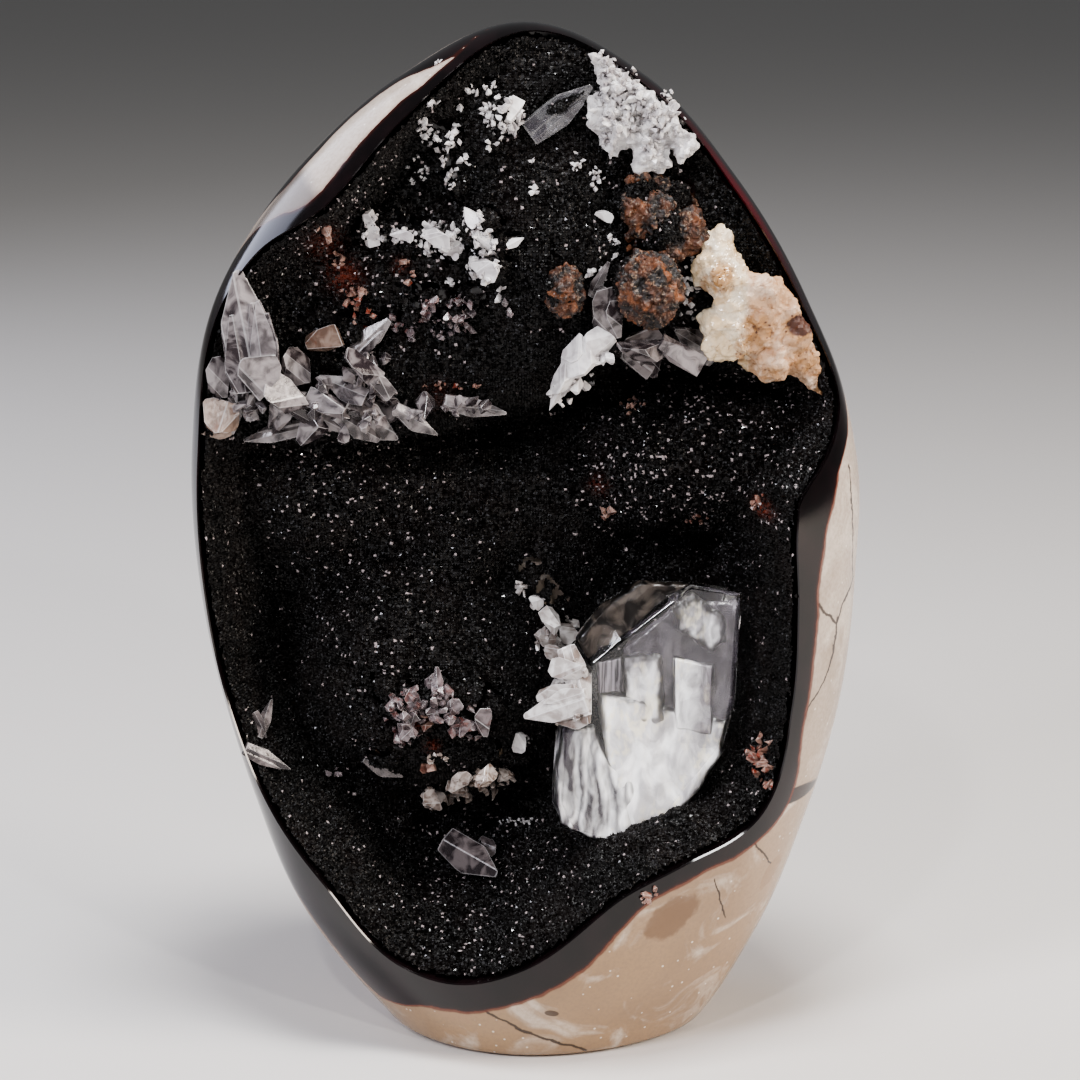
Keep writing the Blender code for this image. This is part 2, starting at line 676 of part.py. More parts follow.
def main():
    clear_scene()
    stone = material("polished_limestone", (0.50, 0.43, 0.34), 0.22)
    druse = material("black_druse", (0.022, 0.014, 0.014), 0.30)
    clear = material("clear_calcite", (0.88, 0.90, 0.92), 0.08)
    grey = material("bladed_calcite", (0.62, 0.61, 0.64), 0.30)
    cream = material("cream_calcite", (0.80, 0.68, 0.50), 0.45)
    white = material("white_calcite", (0.85, 0.84, 0.84), 0.50)

    angles = even_angles(RIM_POINTS)
    hollow = hollow_surface(angles)
    make_nodule(angles, hollow, stone)
    crust, back, front = make_crust(angles, hollow, druse)
    stone_keep_out = make_keep_out("stone_keep_out", angles, back, hollow[1], druse)
    add_lumps(crust, stone_keep_out, druse)
    bpy.data.objects.remove(stone_keep_out, do_unlink=True)

    keep_out = make_keep_out("crust_keep_out", angles, front, hollow[1], druse)
    prism = make_hollow_prism(angles, druse)
    groups = (
        ("clear_crystal", clear_crystal_shapes(), clear),
        ("blade_cluster", blade_cluster_shapes(), grey),
        ("cream_calcite", cream_shapes(), cream),
        ("bridge_crystals", bridge_shapes(), grey),
        ("white_crust", white_crust_shapes(), white),
    )
    for name, shapes, finish in groups:
        piece = fuse_all(name, shapes, finish)
        seat(piece, keep_out, prism)
        tidy_mesh(piece)
    tidy_mesh(crust)
    bpy.data.objects.remove(keep_out, do_unlink=True)
    bpy.data.objects.remove(prism, do_unlink=True)


main()
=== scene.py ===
"""The looks of a polished septarian nodule: limestone with a dark vein, a hollow lined with black druse, and
the calcite crystals grown in it.

Metres, +Z up, the hollow faces -Y. Sizes that end in _mm, and the tables that say so, are in millimetres.
Places that end in _px are pixels of the photograph, counted from its top left corner.
"""

import json
import logging
import math
import random
from dataclasses import dataclass
from enum import Enum
from functools import partial

import bmesh
import bpy
import numpy as np
from mathutils import Matrix, Vector, noise
from mathutils.bvhtree import BVHTree

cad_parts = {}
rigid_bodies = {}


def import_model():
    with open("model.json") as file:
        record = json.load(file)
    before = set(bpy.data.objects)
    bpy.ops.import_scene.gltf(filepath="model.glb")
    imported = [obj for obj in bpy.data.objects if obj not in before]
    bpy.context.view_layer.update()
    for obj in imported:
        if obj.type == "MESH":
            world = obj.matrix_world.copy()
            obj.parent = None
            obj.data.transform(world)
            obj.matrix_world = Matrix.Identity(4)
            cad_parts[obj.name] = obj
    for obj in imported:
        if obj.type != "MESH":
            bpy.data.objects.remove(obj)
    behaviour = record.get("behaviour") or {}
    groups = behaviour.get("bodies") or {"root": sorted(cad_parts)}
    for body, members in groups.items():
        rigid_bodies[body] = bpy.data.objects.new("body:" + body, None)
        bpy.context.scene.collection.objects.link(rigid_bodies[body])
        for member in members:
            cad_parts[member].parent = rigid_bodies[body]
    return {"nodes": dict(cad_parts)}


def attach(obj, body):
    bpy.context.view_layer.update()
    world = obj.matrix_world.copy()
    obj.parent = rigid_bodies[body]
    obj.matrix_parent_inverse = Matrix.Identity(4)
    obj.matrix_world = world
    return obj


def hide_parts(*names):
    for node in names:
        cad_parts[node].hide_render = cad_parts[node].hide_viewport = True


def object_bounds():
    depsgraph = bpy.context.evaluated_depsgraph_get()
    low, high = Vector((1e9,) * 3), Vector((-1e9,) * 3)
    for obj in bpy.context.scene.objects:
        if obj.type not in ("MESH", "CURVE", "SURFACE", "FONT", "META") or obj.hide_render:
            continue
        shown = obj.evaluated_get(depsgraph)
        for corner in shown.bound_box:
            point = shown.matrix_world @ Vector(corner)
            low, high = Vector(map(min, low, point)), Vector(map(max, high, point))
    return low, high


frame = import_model()
CAD_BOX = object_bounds()

LOG = logging.getLogger("septarian_nodule")
MM = 0.001
UP = Vector((0.0, 0.0, 1.0))
EASE = {"interpolation_type": "SMOOTHSTEP"}
COLOURS = {"data_type": "RGBA"}
# the wave texture's own number of features for one band
BAND_TURN = 2 * math.pi / 20
# a gap in metres, or an angle in radians, that counts as none
CLOSE = 1e-6
# what a pixel of the photograph spans in the middle of the hollow, in mm
PX_MM = 0.2344
Tree = bpy.types.NodeTree
Socket = bpy.types.NodeSocket
Axes = bpy.types.bpy_prop_collection


def linear(hex_colour: str) -> tuple[float, float, float, float]:
    """Turn an sRGB hex colour to linear light.

    Args:
        hex_colour: the colour, such as "#c8b9af".

    Returns:
        Red, green, blue and alpha, linear.
    """
    parts = [int(hex_colour[i : i + 2], 16) / 255 for i in (1, 3, 5)]
    return (*(p / 12.92 if p <= 0.04045 else ((p + 0.055) / 1.055) ** 2.4 for p in parts), 1.0)


def plug(tree: Tree, node: bpy.types.Node, inputs: dict) -> None:
    """Set a node's inputs.

    Args:
        tree: the material's nodes.
        node: the node.
        inputs: for each input, by its name or number, a value, an sRGB hex colour or another node's output.
    """
    for name, value in inputs.items():
        if isinstance(value, Socket):
            tree.links.new(value, node.inputs[name])
        else:
            node.inputs[name].default_value = linear(value) if isinstance(value, str) else value


def add(tree: Tree, kind: str, inputs: dict | None = None, out: int | str = 0, **settings: object) -> Socket:
    """Add a shader node with its settings and links.

    Args:
        tree: the material's nodes.
        kind: the node's Blender type without its "ShaderNode".
        inputs: what goes in its inputs, as plug takes it.
        out: the output that the work goes on from.
        settings: the node's own properties.

    Returns:
        That output.
    """
    node = tree.nodes.new("ShaderNode" + kind)
    for name, value in settings.items():
        setattr(node, name, value)
    plug(tree, node, inputs or {})
    return node.outputs[out]


def new_material(name: str) -> tuple[bpy.types.Material, Tree, bpy.types.Node, Socket]:
    """Start a material.

    Args:
        name: the real material's name.

    Returns:
        The material, its nodes, its shader and the Object coordinates.
    """
    made = bpy.data.materials.new(name)
    made.use_nodes = True
    tree = made.node_tree
    return made, tree, tree.nodes["Principled BSDF"], add(tree, "TexCoord", out="Object")


def per_mm(size_mm: float) -> float:
    """The scale of a pattern whose features are of a size, for coordinates in metres."""
    return 1.0 / (size_mm * MM)


@dataclass(frozen=True)
class Layer:
    """A cloudy layer of colour: soft noise of a size in mm, which covers what is below from low to high."""

    size_mm: float
    detail: float
    low: float
    high: float
    share: float
    colour: str
    distortion: float = 0.0


def lay(tree: Tree, place: Socket, colour: str | Socket, layers: tuple[Layer, ...]) -> Socket:
    """Lay cloudy layers over a colour.

    Args:
        tree: the material's nodes.
        place: the Object coordinates.
        colour: the ground.
        layers: the layers, from the lowest up.

    Returns:
        The colour with the layers.
    """
    for layer in layers:
        grain = {"Vector": place, "Scale": per_mm(layer.size_mm), "Detail": layer.detail}
        cloud = add(tree, "TexNoise", {**grain, "Distortion": layer.distortion})
        share = add(tree, "MapRange", {0: cloud, 1: layer.low, 2: layer.high, 4: layer.share}, **EASE)
        colour = add(tree, "Mix", {0: share, 6: colour, 7: layer.colour}, 2, **COLOURS)
    return colour


@dataclass(frozen=True)
class Crack:
    """A fine crack in the polished stone, straight as seen from the front, with its ends in mm."""

    start: tuple[float, float]
    end: tuple[float, float]
    width_mm: float = 0.35


CRACKS = tuple(Crack(*row) for row in (
    ((66.1, 108.3), (70.9, 102.7), 0.5), ((70.9, 102.7), (75.5, 110.5), 0.4),
    ((75.5, 110.5), (73.7, 138.1), 0.25), ((71.6, 103.5), (69.5, 91.3), 0.4),
    ((69.5, 91.3), (62.6, 80.5), 0.35), ((-9.4, 13.3), (-1.3, 8.6), 0.5), ((-1.3, 8.6), (14.0, 1.5), 0.6),
    ((51.4, 54.5), (56.8, 44.9), 0.35), ((43.4, 45.0), (46.1, 33.8), 0.3),
))


@dataclass(frozen=True)
class Blot:
    """An oval blot in the polished stone, as seen from the front, in mm, with its turn in degrees."""

    x: float
    z: float
    half_long: float
    half_high: float
    turn: float
    colour: str
    share: float
    ragged: float


BLOTS = tuple(Blot(*row) for row in (
    (33.0, 36.8, 8.5, 4.6, 38.0, "#6b4f38", 0.70, 0.9),
    (62.0, 61.8, 7.4, 2.3, -4.0, "#241a1a", 0.96, 0.15),
    (6.0, 13.2, 1.9, 0.9, -10.0, "#3c2c22", 0.85, 0.3), (57.0, 42.0, 5.0, 2.0, 60.0, "#8d6f52", 0.5, 0.9),
    (-20.0, 14.0, 9.0, 4.0, -30.0, "#9a7c62", 0.45, 0.9),
    (-46.0, 180.0, 48.0, 16.0, -52.0, "#5c544e", 0.85, 0.1),
))


@dataclass(frozen=True)
class PolishedLimestone:
    """Fine-grained limestone with a vein of dark calcite, lapped and polished.

    The lap leaves a clear gloss over a matt, cloudy body. The vein is near black with a rust-brown border.
    """

    border: str = "#5e2a1a"
    vein: tuple = (Layer(9.0, 5.0, 0.40, 0.65, 1.0, "#170e10"),)
    clouds: tuple = (
        Layer(26.0, 6.0, 0.42, 0.72, 0.55, "#87705a", 0.6),
        Layer(14.0, 5.0, 0.52, 0.72, 0.50, "#ddd2c6", 1.2),
        Layer(0.9, 3.0, 0.35, 0.75, 0.28, "#7d6a5a"),
    )

    def make(self) -> bpy.types.Material:
        """Make the material, which reads the body's attributes stone, in mm, and glow.

        Returns:
            The material.
        """
        made, tree, shader, place = new_material("polished_limestone_with_dark_vein")
        node = partial(add, tree)
        axes = node("SeparateXYZ", {0: place}).node.outputs
        wobble = node("TexNoise", {"Vector": place, "Scale": per_mm(7.0), "Detail": 4.0})
        wobble = node("Math", {0: wobble, 1: 2.4, 2: -1.2}, operation="MULTIPLY_ADD")
        stone = node("Attribute", out="Fac", attribute_name="stone")
        stone = node("Math", {0: stone, 1: wobble}, operation="ADD")
        vein = lay(tree, place, "#0d090a", self.vein)
        near = node("MapRange", {0: stone, 1: -1.3, 2: -0.1, 4: 0.8}, **EASE)
        vein = node("Mix", {0: near, 6: vein, 7: "#34140e"}, 2, **COLOURS)
        glow = node("Attribute", out="Fac", attribute_name="glow")
        vein = node("Mix", {0: glow, 6: vein, 7: "#450e15"}, 2, **COLOURS)
        limestone = self.veins(tree, place, axes, self.limestone(tree, place, axes))
        share = node("MapRange", {0: stone, 1: -0.12, 2: 0.12}, **EASE)
        colour = node("Mix", {0: share, 6: vein, 7: limestone}, 2, **COLOURS)
        off = node("Math", {0: node("Math", {0: stone, 1: -0.25}, operation="ADD")}, operation="ABSOLUTE")
        edge = node("MapRange", {0: off, 1: 0.15, 2: 0.75, 3: 0.85, 4: 0.0}, **EASE)
        low = node("MapRange", {0: axes[2], 1: 0.14, 2: 0.17, 3: 1.0, 4: 0.25}, **EASE)
        edge = node("Math", {0: edge, 1: low}, operation="MULTIPLY")
        colour = node("Mix", {0: edge, 6: colour, 7: self.border}, 2, **COLOURS)
        rough = node("MapRange", {0: stone, 1: -0.2, 2: 0.2, 3: 0.11, 4: 0.20}, **EASE)
        plug(tree, shader, {"Base Color": colour, "Roughness": rough, "IOR": 1.5})
        return made

    def limestone(self, tree: Tree, place: Socket, axes: Axes) -> Socket:
        """Lay out the limestone's clouds, freckles, stain and cracks.

        Args:
            tree: the material's nodes.
            place: the Object coordinates.
            axes: the coordinates' three parts.

        Returns:
            The limestone's colour.
        """
        height = add(tree, "MapRange", {0: axes[2], 1: 0.02, 2: 0.11}, **EASE)
        colour = add(tree, "Mix", {0: height, 6: "#9c8164", 7: "#b9aca0"}, 2, **COLOURS)
        colour = lay(tree, place, colour, self.clouds)
        flecks = add(tree, "TexVoronoi", {"Vector": place, "Scale": per_mm(3.2)})
        flecks = add(tree, "MapRange", {0: flecks, 1: 0.05, 2: 0.12, 3: 0.6, 4: 0.0}, **EASE)
        colour = add(tree, "Mix", {0: flecks, 6: colour, 7: "#efe8de"}, 2, **COLOURS)
        marks = [(self.blot_mask(tree, place, axes, blot), blot.colour) for blot in BLOTS]
        marks += [(self.crack_mask(tree, place, axes, crack), "#2a1e18") for crack in CRACKS]
        for mask, tint in marks:
            colour = add(tree, "Mix", {0: mask, 6: colour, 7: tint}, 2, **COLOURS)
        return colour

    def blot_mask(self, tree: Tree, place: Socket, axes: Axes, blot: Blot) -> Socket:
        """Say where a blot is.

        Args:
            tree: the material's nodes.
            place: the Object coordinates.
            axes: the coordinates' three parts.
            blot: the blot.

        Returns:
            The blot's share in it and 0 elsewhere.
        """
        node = partial(add, tree)
        moved = node("Mapping", {"Vector": place, "Location": (-blot.x * MM, 0.0, -blot.z * MM)})
        turned = node("Mapping", {"Vector": moved, "Rotation": (0.0, math.radians(blot.turn), 0.0)})
        scale = (per_mm(blot.half_long), 0.0, per_mm(blot.half_high))
        away = node("Mapping", {"Vector": turned, "Scale": scale})
        away = node("VectorMath", {0: away}, 1, operation="LENGTH")
        rag = node("TexNoise", {"Vector": place, "Scale": per_mm(4.0), "Detail": 5.0})
        away = node("Math", {0: rag, 1: blot.ragged, 2: away}, operation="MULTIPLY_ADD")
        fade = {1: 0.75 + blot.ragged / 2, 2: 1.0 + blot.ragged / 2, 3: blot.share, 4: 0.0}
        mask = node("MapRange", {0: away, **fade}, **EASE)
        front = node("MapRange", {0: axes[1], 1: -0.012, 2: -0.008, 3: 1.0, 4: 0.0}, **EASE)
        return node("Math", {0: mask, 1: front}, operation="MULTIPLY")

    def crack_mask(self, tree: Tree, place: Socket, axes: Axes, crack: Crack) -> Socket:
        """Say where a crack is.

        Args:
            tree: the material's nodes.
            place: the Object coordinates.
            axes: the coordinates' three parts.
            crack: the crack.

        Returns:
            Near 1 in the crack and 0 elsewhere.
        """
        node = partial(add, tree)
        start = Vector((crack.start[0], 0.0, crack.start[1])) * MM
        end = Vector((crack.end[0], 0.0, crack.end[1])) * MM
        along = (end - start).normalized()
        across = along.cross(Vector((0.0, 1.0, 0.0)))
        from_start = node("VectorMath", {0: place, 1: start}, operation="SUBTRACT")
        run = node("VectorMath", {0: from_start, 1: along}, 1, operation="DOT_PRODUCT")
        off = node("VectorMath", {0: from_start, 1: across}, 1, operation="DOT_PRODUCT")
        bend = node("TexNoise", {"Vector": place, "Scale": per_mm(4.0), "Detail": 4.0})
        bend = node("Math", {0: bend, 1: 0.0020, 2: -0.0010}, operation="MULTIPLY_ADD")
        off = node("Math", {0: node("Math", {0: off, 1: bend}, operation="ADD")}, operation="ABSOLUTE")
        half = crack.width_mm * MM / 2
        mask = node("MapRange", {0: off, 1: half * 0.6, 2: half * 1.8, 3: 0.9, 4: 0.0}, **EASE)
        reach = (end - start).length / 2
        middle = node("Math", {0: node("Math", {0: run, 1: -reach}, operation="ADD")}, operation="ABSOLUTE")
        ends = node("MapRange", {0: middle, 1: reach, 2: reach + 0.0006, 3: 1.0, 4: 0.0}, **EASE)
        mask = node("Math", {0: mask, 1: ends}, operation="MULTIPLY")
        front = node("MapRange", {0: axes[1], 1: -0.008, 2: -0.004, 3: 1.0, 4: 0.0}, **EASE)
        return node("Math", {0: mask, 1: front}, operation="MULTIPLY")

    def veins(self, tree: Tree, place: Socket, axes: Axes, colour: Socket) -> Socket:
        """Draw the veins that run over the back and sides, where the clay once shrank and cracked.

        Args:
            tree: the material's nodes.
            place: the Object coordinates.
            axes: the coordinates' three parts.
            colour: the limestone's colour.

        Returns:
            The colour with the veins.
        """
        node = partial(add, tree)
        bend = node("TexNoise", {"Vector": place, "Scale": per_mm(30.0), "Detail": 3.0}, "Color")
        bent = node("VectorMath", {0: bend, 1: (0.022,) * 3, 2: place}, operation="MULTIPLY_ADD")
        cells = {"Vector": bent, "Scale": per_mm(52.0)}
        gap = node("TexVoronoi", cells, feature="DISTANCE_TO_EDGE")
        behind = node("MapRange", {0: axes[1], 1: -0.004, 2: 0.010}, **EASE)
        width = node("TexNoise", {"Vector": place, "Scale": per_mm(40.0), "Detail": 2.0})
        width = node("Math", {0: width, 1: 0.08, 2: 0.012}, operation="MULTIPLY_ADD")
        width = node("Math", {0: width, 1: behind, 2: -0.020}, operation="MULTIPLY_ADD")
        inside_vein = node("Math", {0: gap, 1: width}, operation="SUBTRACT")
        core = lay(tree, place, "#241512", (Layer(6.0, 4.0, 0.4, 0.7, 1.0, "#4a2a1a"),))
        for low, high, share, tint in ((0.006, 0.020, 0.8, "#7a4a2c"), (-0.001, 0.004, 1.0, core)):
            mask = node("MapRange", {0: inside_vein, 1: low, 2: high, 3: share, 4: 0.0}, **EASE)
            colour = node("Mix", {0: mask, 6: colour, 7: tint}, 2, **COLOURS)
        return colour


@dataclass(frozen=True)
class BlackDruse:
    """Druse of dark calcite: small crystals, so dark that only the glints of their clean faces show."""

    # an attribute of the lining, the colour that it brings and its share
    # pale: partly white grains and partly painted glints
    # tip lifts each crystal's point above its black base: painted light on the points and painted shade in
    # the crevices
    tints: tuple = (("tip", "#2c1e1a", 0.06), ("rust", "#5c281b", 1.0), ("pale", "#a39898", 1.0))

    def make(self) -> bpy.types.Material:
        """Make the material, which reads the attributes tip, rust, pale and gloss.

        Returns:
            The material.
        """
        made, tree, shader, place = new_material("black_calcite_druse")
        colour = lay(tree, place, "#040303", (Layer(11.0, 4.0, 0.42, 0.68, 1.0, "#0d0807"),))
        for name, tint, share in self.tints:
            here = add(tree, "Attribute", out="Fac", attribute_name=name)
            here = add(tree, "Math", {0: here, 1: share}, operation="MULTIPLY")
            colour = add(tree, "Mix", {0: here, 6: colour, 7: tint}, 2, **COLOURS)
        gloss = add(tree, "Attribute", out="Fac", attribute_name="gloss")
        rough = add(tree, "MapRange", {0: gloss, 3: 0.50, 4: 0.08})
        plug(tree, shader, {"Base Color": colour, "Roughness": rough, "IOR": 1.35})
        return made


@dataclass(frozen=True)
class ClearCalcite:
    """Optical calcite: water-clear, with natural faces as smooth as glass."""

    def make(self) -> bpy.types.Material:
        """Make the material, with the faint steps of growth on its faces.

        Returns:
            The material.
        """
        made, tree, shader, place = new_material("clear_calcite_natural_faces")
        steps = add(tree, "TexNoise", {"Vector": place, "Scale": per_mm(6.0), "Detail": 2.0})
        bump = add(tree, "Bump", {"Height": steps, "Distance": 0.0002, "Strength": 0.08})
        glass = {"Base Color": "#f6f5f3", "Roughness": 0.03, "IOR": 1.6, "Transmission Weight": 1.0}
        plug(tree, shader, {**glass, "Normal": bump})
        return made


@dataclass(frozen=True)
class VeiledCalcite:
    """Calcite clouded by fine cleavage cracks and fluid veils, which scatter light like snow.

    Each face has a shade of its own, and the bevelled edges are the palest, a painted highlight. From the
    colour light it clouds to the colour dark, by at most depth and in patches of a size, which are as many
    times higher than wide as upright is below 1. It may have spots, stripes, steps and edges that fade.
    """

    name: str
    light: str
    dark: str
    through: float
    roughness: float = 0.28
    patch_mm: float = 5.0
    edges: float = 0.6
    spot: str | None = None
    spot_share: float = 0.9
    stripe_mm: float = 0.0
    upright: float = 1.0
    fades: bool = False
    depth: float = 0.55
    steps: float = 0.0
    spot_mm: float = 1.5
    zone_mm: float = 9.0
    block_mm: float = 4.0
    rag_mm: float = 2.4
    grain_mm: float = 0.8

    def make(self) -> bpy.types.Material:
        """Make the material, which reads the attributes tone, a face's shade, edge and fade.

        Returns:
            The material.
        """
        made, tree, shader, place = new_material(self.name)
        node = partial(add, tree)
        place = node("Mapping", {"Vector": place, "Scale": (1.0, 1.0, self.upright)})
        grain = {"Vector": place, "Scale": per_mm(self.patch_mm), "Detail": 5.0, "Distortion": 0.8}
        cloud = node("MapRange", {0: node("TexNoise", grain), 1: 0.36, 2: 0.66, 4: self.depth}, **EASE)
        tone = node("Attribute", out="Fac", attribute_name="tone")
        cloud = node("Math", {0: tone, 1: 0.6, 2: cloud}, operation="MULTIPLY_ADD")
        if self.stripe_mm:
            bands = {"Vector": place, "Scale": BAND_TURN * per_mm(self.stripe_mm), "Distortion": 9.0}
            bands |= {"Detail": 3.0, "Detail Scale": 2.6}
            sheets = node("TexWave", bands, "Fac", bands_direction="X")
            cloud = node("Math", {0: sheets, 1: 0.6, 2: cloud}, operation="MULTIPLY_ADD")
        if self.steps:
            blocks = {"Vector": place, "Scale": per_mm(self.block_mm), "Randomness": 0.8}
            blocks = node("TexVoronoi", blocks, "Color", distance="CHEBYCHEV")
            cloud = node("Math", {0: blocks, 1: self.steps, 2: cloud}, operation="MULTIPLY_ADD")
        colour = node("Mix", {0: cloud, 6: self.light, 7: self.dark}, 2, **COLOURS)
        # painted highlight: the bevelled edges are lightened towards near white
        edge = node("Attribute", out="Fac", attribute_name="edge")
        edge = node("Math", {0: edge, 1: self.edges}, operation="MULTIPLY")
        colour = node("Mix", {0: edge, 6: colour, 7: "#f7f5f5"}, 2, **COLOURS)
        if self.spot:
            freckle = node("TexNoise", {"Vector": place, "Scale": per_mm(self.spot_mm), "Detail": 4.0})
            freckle = node("MapRange", {0: freckle, 1: 0.46, 2: 0.62, 4: self.spot_share}, **EASE)
            zone = node("TexNoise", {"Vector": place, "Scale": per_mm(self.zone_mm), "Detail": 2.0})
            zone = node("MapRange", {0: zone, 1: 0.42, 2: 0.58}, **EASE)
            spots = node("Math", {0: freckle, 1: zone}, operation="MULTIPLY")
            colour = node("Mix", {0: spots, 6: colour, 7: self.spot}, 2, **COLOURS)
        fine = node("TexNoise", {"Vector": place, "Scale": per_mm(self.grain_mm), "Detail": 3.0})
        bump = node("Bump", {"Height": fine, "Distance": 0.0001, "Strength": 0.5})
        through = self.through
        if self.fades:
            rag = node("TexNoise", {"Vector": place, "Scale": per_mm(self.rag_mm), "Detail": 5.0})
            rag = node("Math", {0: rag, 1: 1.4, 2: -0.7}, operation="MULTIPLY_ADD")
            fade = node("Attribute", out="Fac", attribute_name="fade")
            fade = node("Math", {0: fade, 1: rag}, operation="ADD")
            through = node("MapRange", {0: fade, 1: 0.25, 2: 0.85, 3: self.through, 4: 1.0}, **EASE)
        clear = {"Roughness": self.roughness, "IOR": 1.58, "Transmission Weight": through}
        plug(tree, shader, {**clear, "Base Color": colour, "Normal": bump})
        return made


@dataclass(frozen=True)
class CreamCalcite:
    """Cream calcite: cleaved faces, pale yellow and glassy, beside a matt crust that iron has stained tan."""

    glassy: tuple = (
        Layer(6.0, 4.0, 0.42, 0.64, 0.7, "#f3e9d8", 0.6),
        Layer(3.5, 4.0, 0.52, 0.70, 0.6, "#b4946a"),
    )
    matt: tuple = (Layer(6.0, 4.0, 0.44, 0.66, 0.7, "#dfc8b2"), Layer(2.2, 4.0, 0.52, 0.66, 0.6, "#a8754c"))

    def make(self) -> bpy.types.Material:
        """Make the material, which reads the attributes matt and mark, the strength of a brown stain.

        Returns:
            The material.
        """
        made, tree, shader, place = new_material("cream_calcite_cleaved")
        node = partial(add, tree)
        matt = node("Attribute", out="Fac", attribute_name="matt")
        glassy, crust = lay(tree, place, "#e0caa8", self.glassy), lay(tree, place, "#c49f7e", self.matt)
        colour = node("Mix", {0: matt, 6: glassy, 7: crust}, 2, **COLOURS)
        mark = node("Attribute", out="Fac", attribute_name="mark")
        rag = node("TexNoise", {"Vector": place, "Scale": per_mm(1.6), "Detail": 5.0})
        rag = node("Math", {0: rag, 1: 0.9, 2: -0.45}, operation="MULTIPLY_ADD")
        rag = node("Math", {0: rag, 1: mark}, operation="ADD")
        dots = node("TexVoronoi", {"Vector": place, "Scale": per_mm(1.3)})
        dots = node("MapRange", {0: dots, 1: 0.16, 2: 0.30, 3: 0.9, 4: 0.0}, **EASE)
        stained = node("MapRange", {0: mark, 1: 0.2, 2: 0.5}, **EASE)
        dots = node("Math", {0: dots, 1: stained}, operation="MULTIPLY")
        stain = node("MapRange", {0: rag, 1: 0.10, 2: 0.55, 4: 0.8}, **EASE)
        deep = node("MapRange", {0: rag, 1: 0.60, 2: 0.90, 4: 0.96}, **EASE)
        for mask, tint in ((stain, "#a67a4c"), (dots, "#54301c"), (deep, "#47200f")):
            colour = node("Mix", {0: mask, 6: colour, 7: tint}, 2, **COLOURS)
        rough = node("MapRange", {0: matt, 3: 0.14, 4: 0.5})
        plug(tree, shader, {"Base Color": colour, "Roughness": rough, "IOR": 1.58})
        plug(tree, shader, {"Transmission Weight": 0.10})
        return made


@dataclass(frozen=True)
class BrownCrust:
    """Siderite and goethite over calcite balls: a rough crust, near black to rust-brown, its glitter painted
    as fine pale specks.
    """

    layers: tuple = (
        Layer(3.4, 5.0, 0.42, 0.66, 1.0, "#55321f"),
        # painted glints: fine pale specks over the crust
        Layer(1.1, 4.0, 0.57, 0.70, 0.65, "#9a8470", 1.0),
        Layer(4.0, 4.0, 0.53, 0.69, 0.75, "#8a5636"),
    )

    def make(self) -> bpy.types.Material:
        """Make the material.

        Returns:
            The material.
        """
        made, tree, shader, place = new_material("brown_siderite_crust")
        colour = lay(tree, place, "#150f0e", self.layers)
        plug(tree, shader, {"Base Color": colour, "Roughness": 0.52, "IOR": 1.5})
        return made


FINISHES = {
    "limestone": PolishedLimestone(),
    "druse": BlackDruse(),
    "clear": ClearCalcite(),
    # milky veils: snow white where cracks crowd, grey and faintly yellow where they thin out
    "veil": VeiledCalcite(
        "milky_calcite_veil", "#ffffff", "#6a636a", 0.0, 0.30, 4.5, spot="#f8efd2", spot_share=0.5,
        upright=0.5, fades=True, depth=0.55, steps=0.24,
    ),
    # healed cleavage sheets seen edge on: wavy white lines with dark clear crystal between them
    "sheets": VeiledCalcite(
        "striped_calcite_veil", "#ffffff", "#332e36", 0.10, 0.30, 4.0, stripe_mm=3.6, upright=0.30, fades=True
    ),
    # twin lamellae: fine, straight and dark
    "lines": VeiledCalcite(
        "finely_striped_calcite_veil", "#aaa3aa", "#1d191e", 0.25, 0.30, 3.0, stripe_mm=1.2, upright=0.10,
        fades=True,
    ),
    # a facet through which the brown druse behind shows, hazy
    "smoky": VeiledCalcite(
        "smoky_calcite_veil", "#7d7269", "#1c1613", 0.35, 0.30, 5.0, fades=True, depth=0.9
    ),
    # a veil so thin that it only lifts the black to lilac grey
    "haze": VeiledCalcite(
        "faint_calcite_veil", "#d8d1d9", "#6c6470", 0.86, 0.20, 5.0, upright=0.5, fades=True, depth=0.9,
        steps=0.3,
    ),
    # grey translucent blades, their edges lightened as a painted highlight
    "bladed": VeiledCalcite(
        "bladed_calcite_translucent", "#c6bdbd", "#3d3538", 0.40, 0.22, 4.0, 0.32, depth=0.75
    ),
    # brownish grey blades, darkened with painted shade where they sit in the shade of the bowl
    "shade_darkened_blade": VeiledCalcite("blade_calcite_with_painted_shade", "#948988", "#2e2729", 0.20, 0.24, 4.0, 0.22, depth=0.8),
    # waxy beige balls
    "beige": VeiledCalcite("beige_calcite_balls", "#e2d6ce", "#7a665b", 0.15, 0.26, 2.0, 0.4, depth=0.7),
    # a nearly clear blade that shows by its edges, lightened as a painted highlight
    "leaf": VeiledCalcite("clear_calcite_blade", "#ffffff", "#8d8890", 0.86, 0.10, 3.0, 0.9),
    # sugary white: clouded through and through
    "white": VeiledCalcite("white_calcite_sugar", "#f6f4f3", "#a9a2a3", 0.15, 0.32, 3.0),
    # white plates, beige in their hollows
    "plates": VeiledCalcite("white_calcite_plates", "#f6f3f1", "#8d7d75", 0.20, 0.26, 3.0),
    # smoky grey balls with a breath of pink and rust
    "pink": VeiledCalcite(
        "pinkish_grey_calcite", "#b5a6a8", "#322629", 0.35, 0.22, 2.5, 0.5, "#7a3626", 0.5
    ),
    # a thin skin of iron that stains the crystals tan
    "tan": VeiledCalcite("tan_stained_calcite", "#c9b3a4", "#6f574a", 0.30, 0.24, 3.0, 0.4, "#7a4a34", 0.5),
    # grains that iron has turned rosy
    "rosy": VeiledCalcite("rosy_stained_calcite", "#c9a595", "#5f3a30", 0.20, 0.30, 2.0, 0.4, "#8a3520"),
    "cream": CreamCalcite(),
    "crust": BrownCrust(),
}


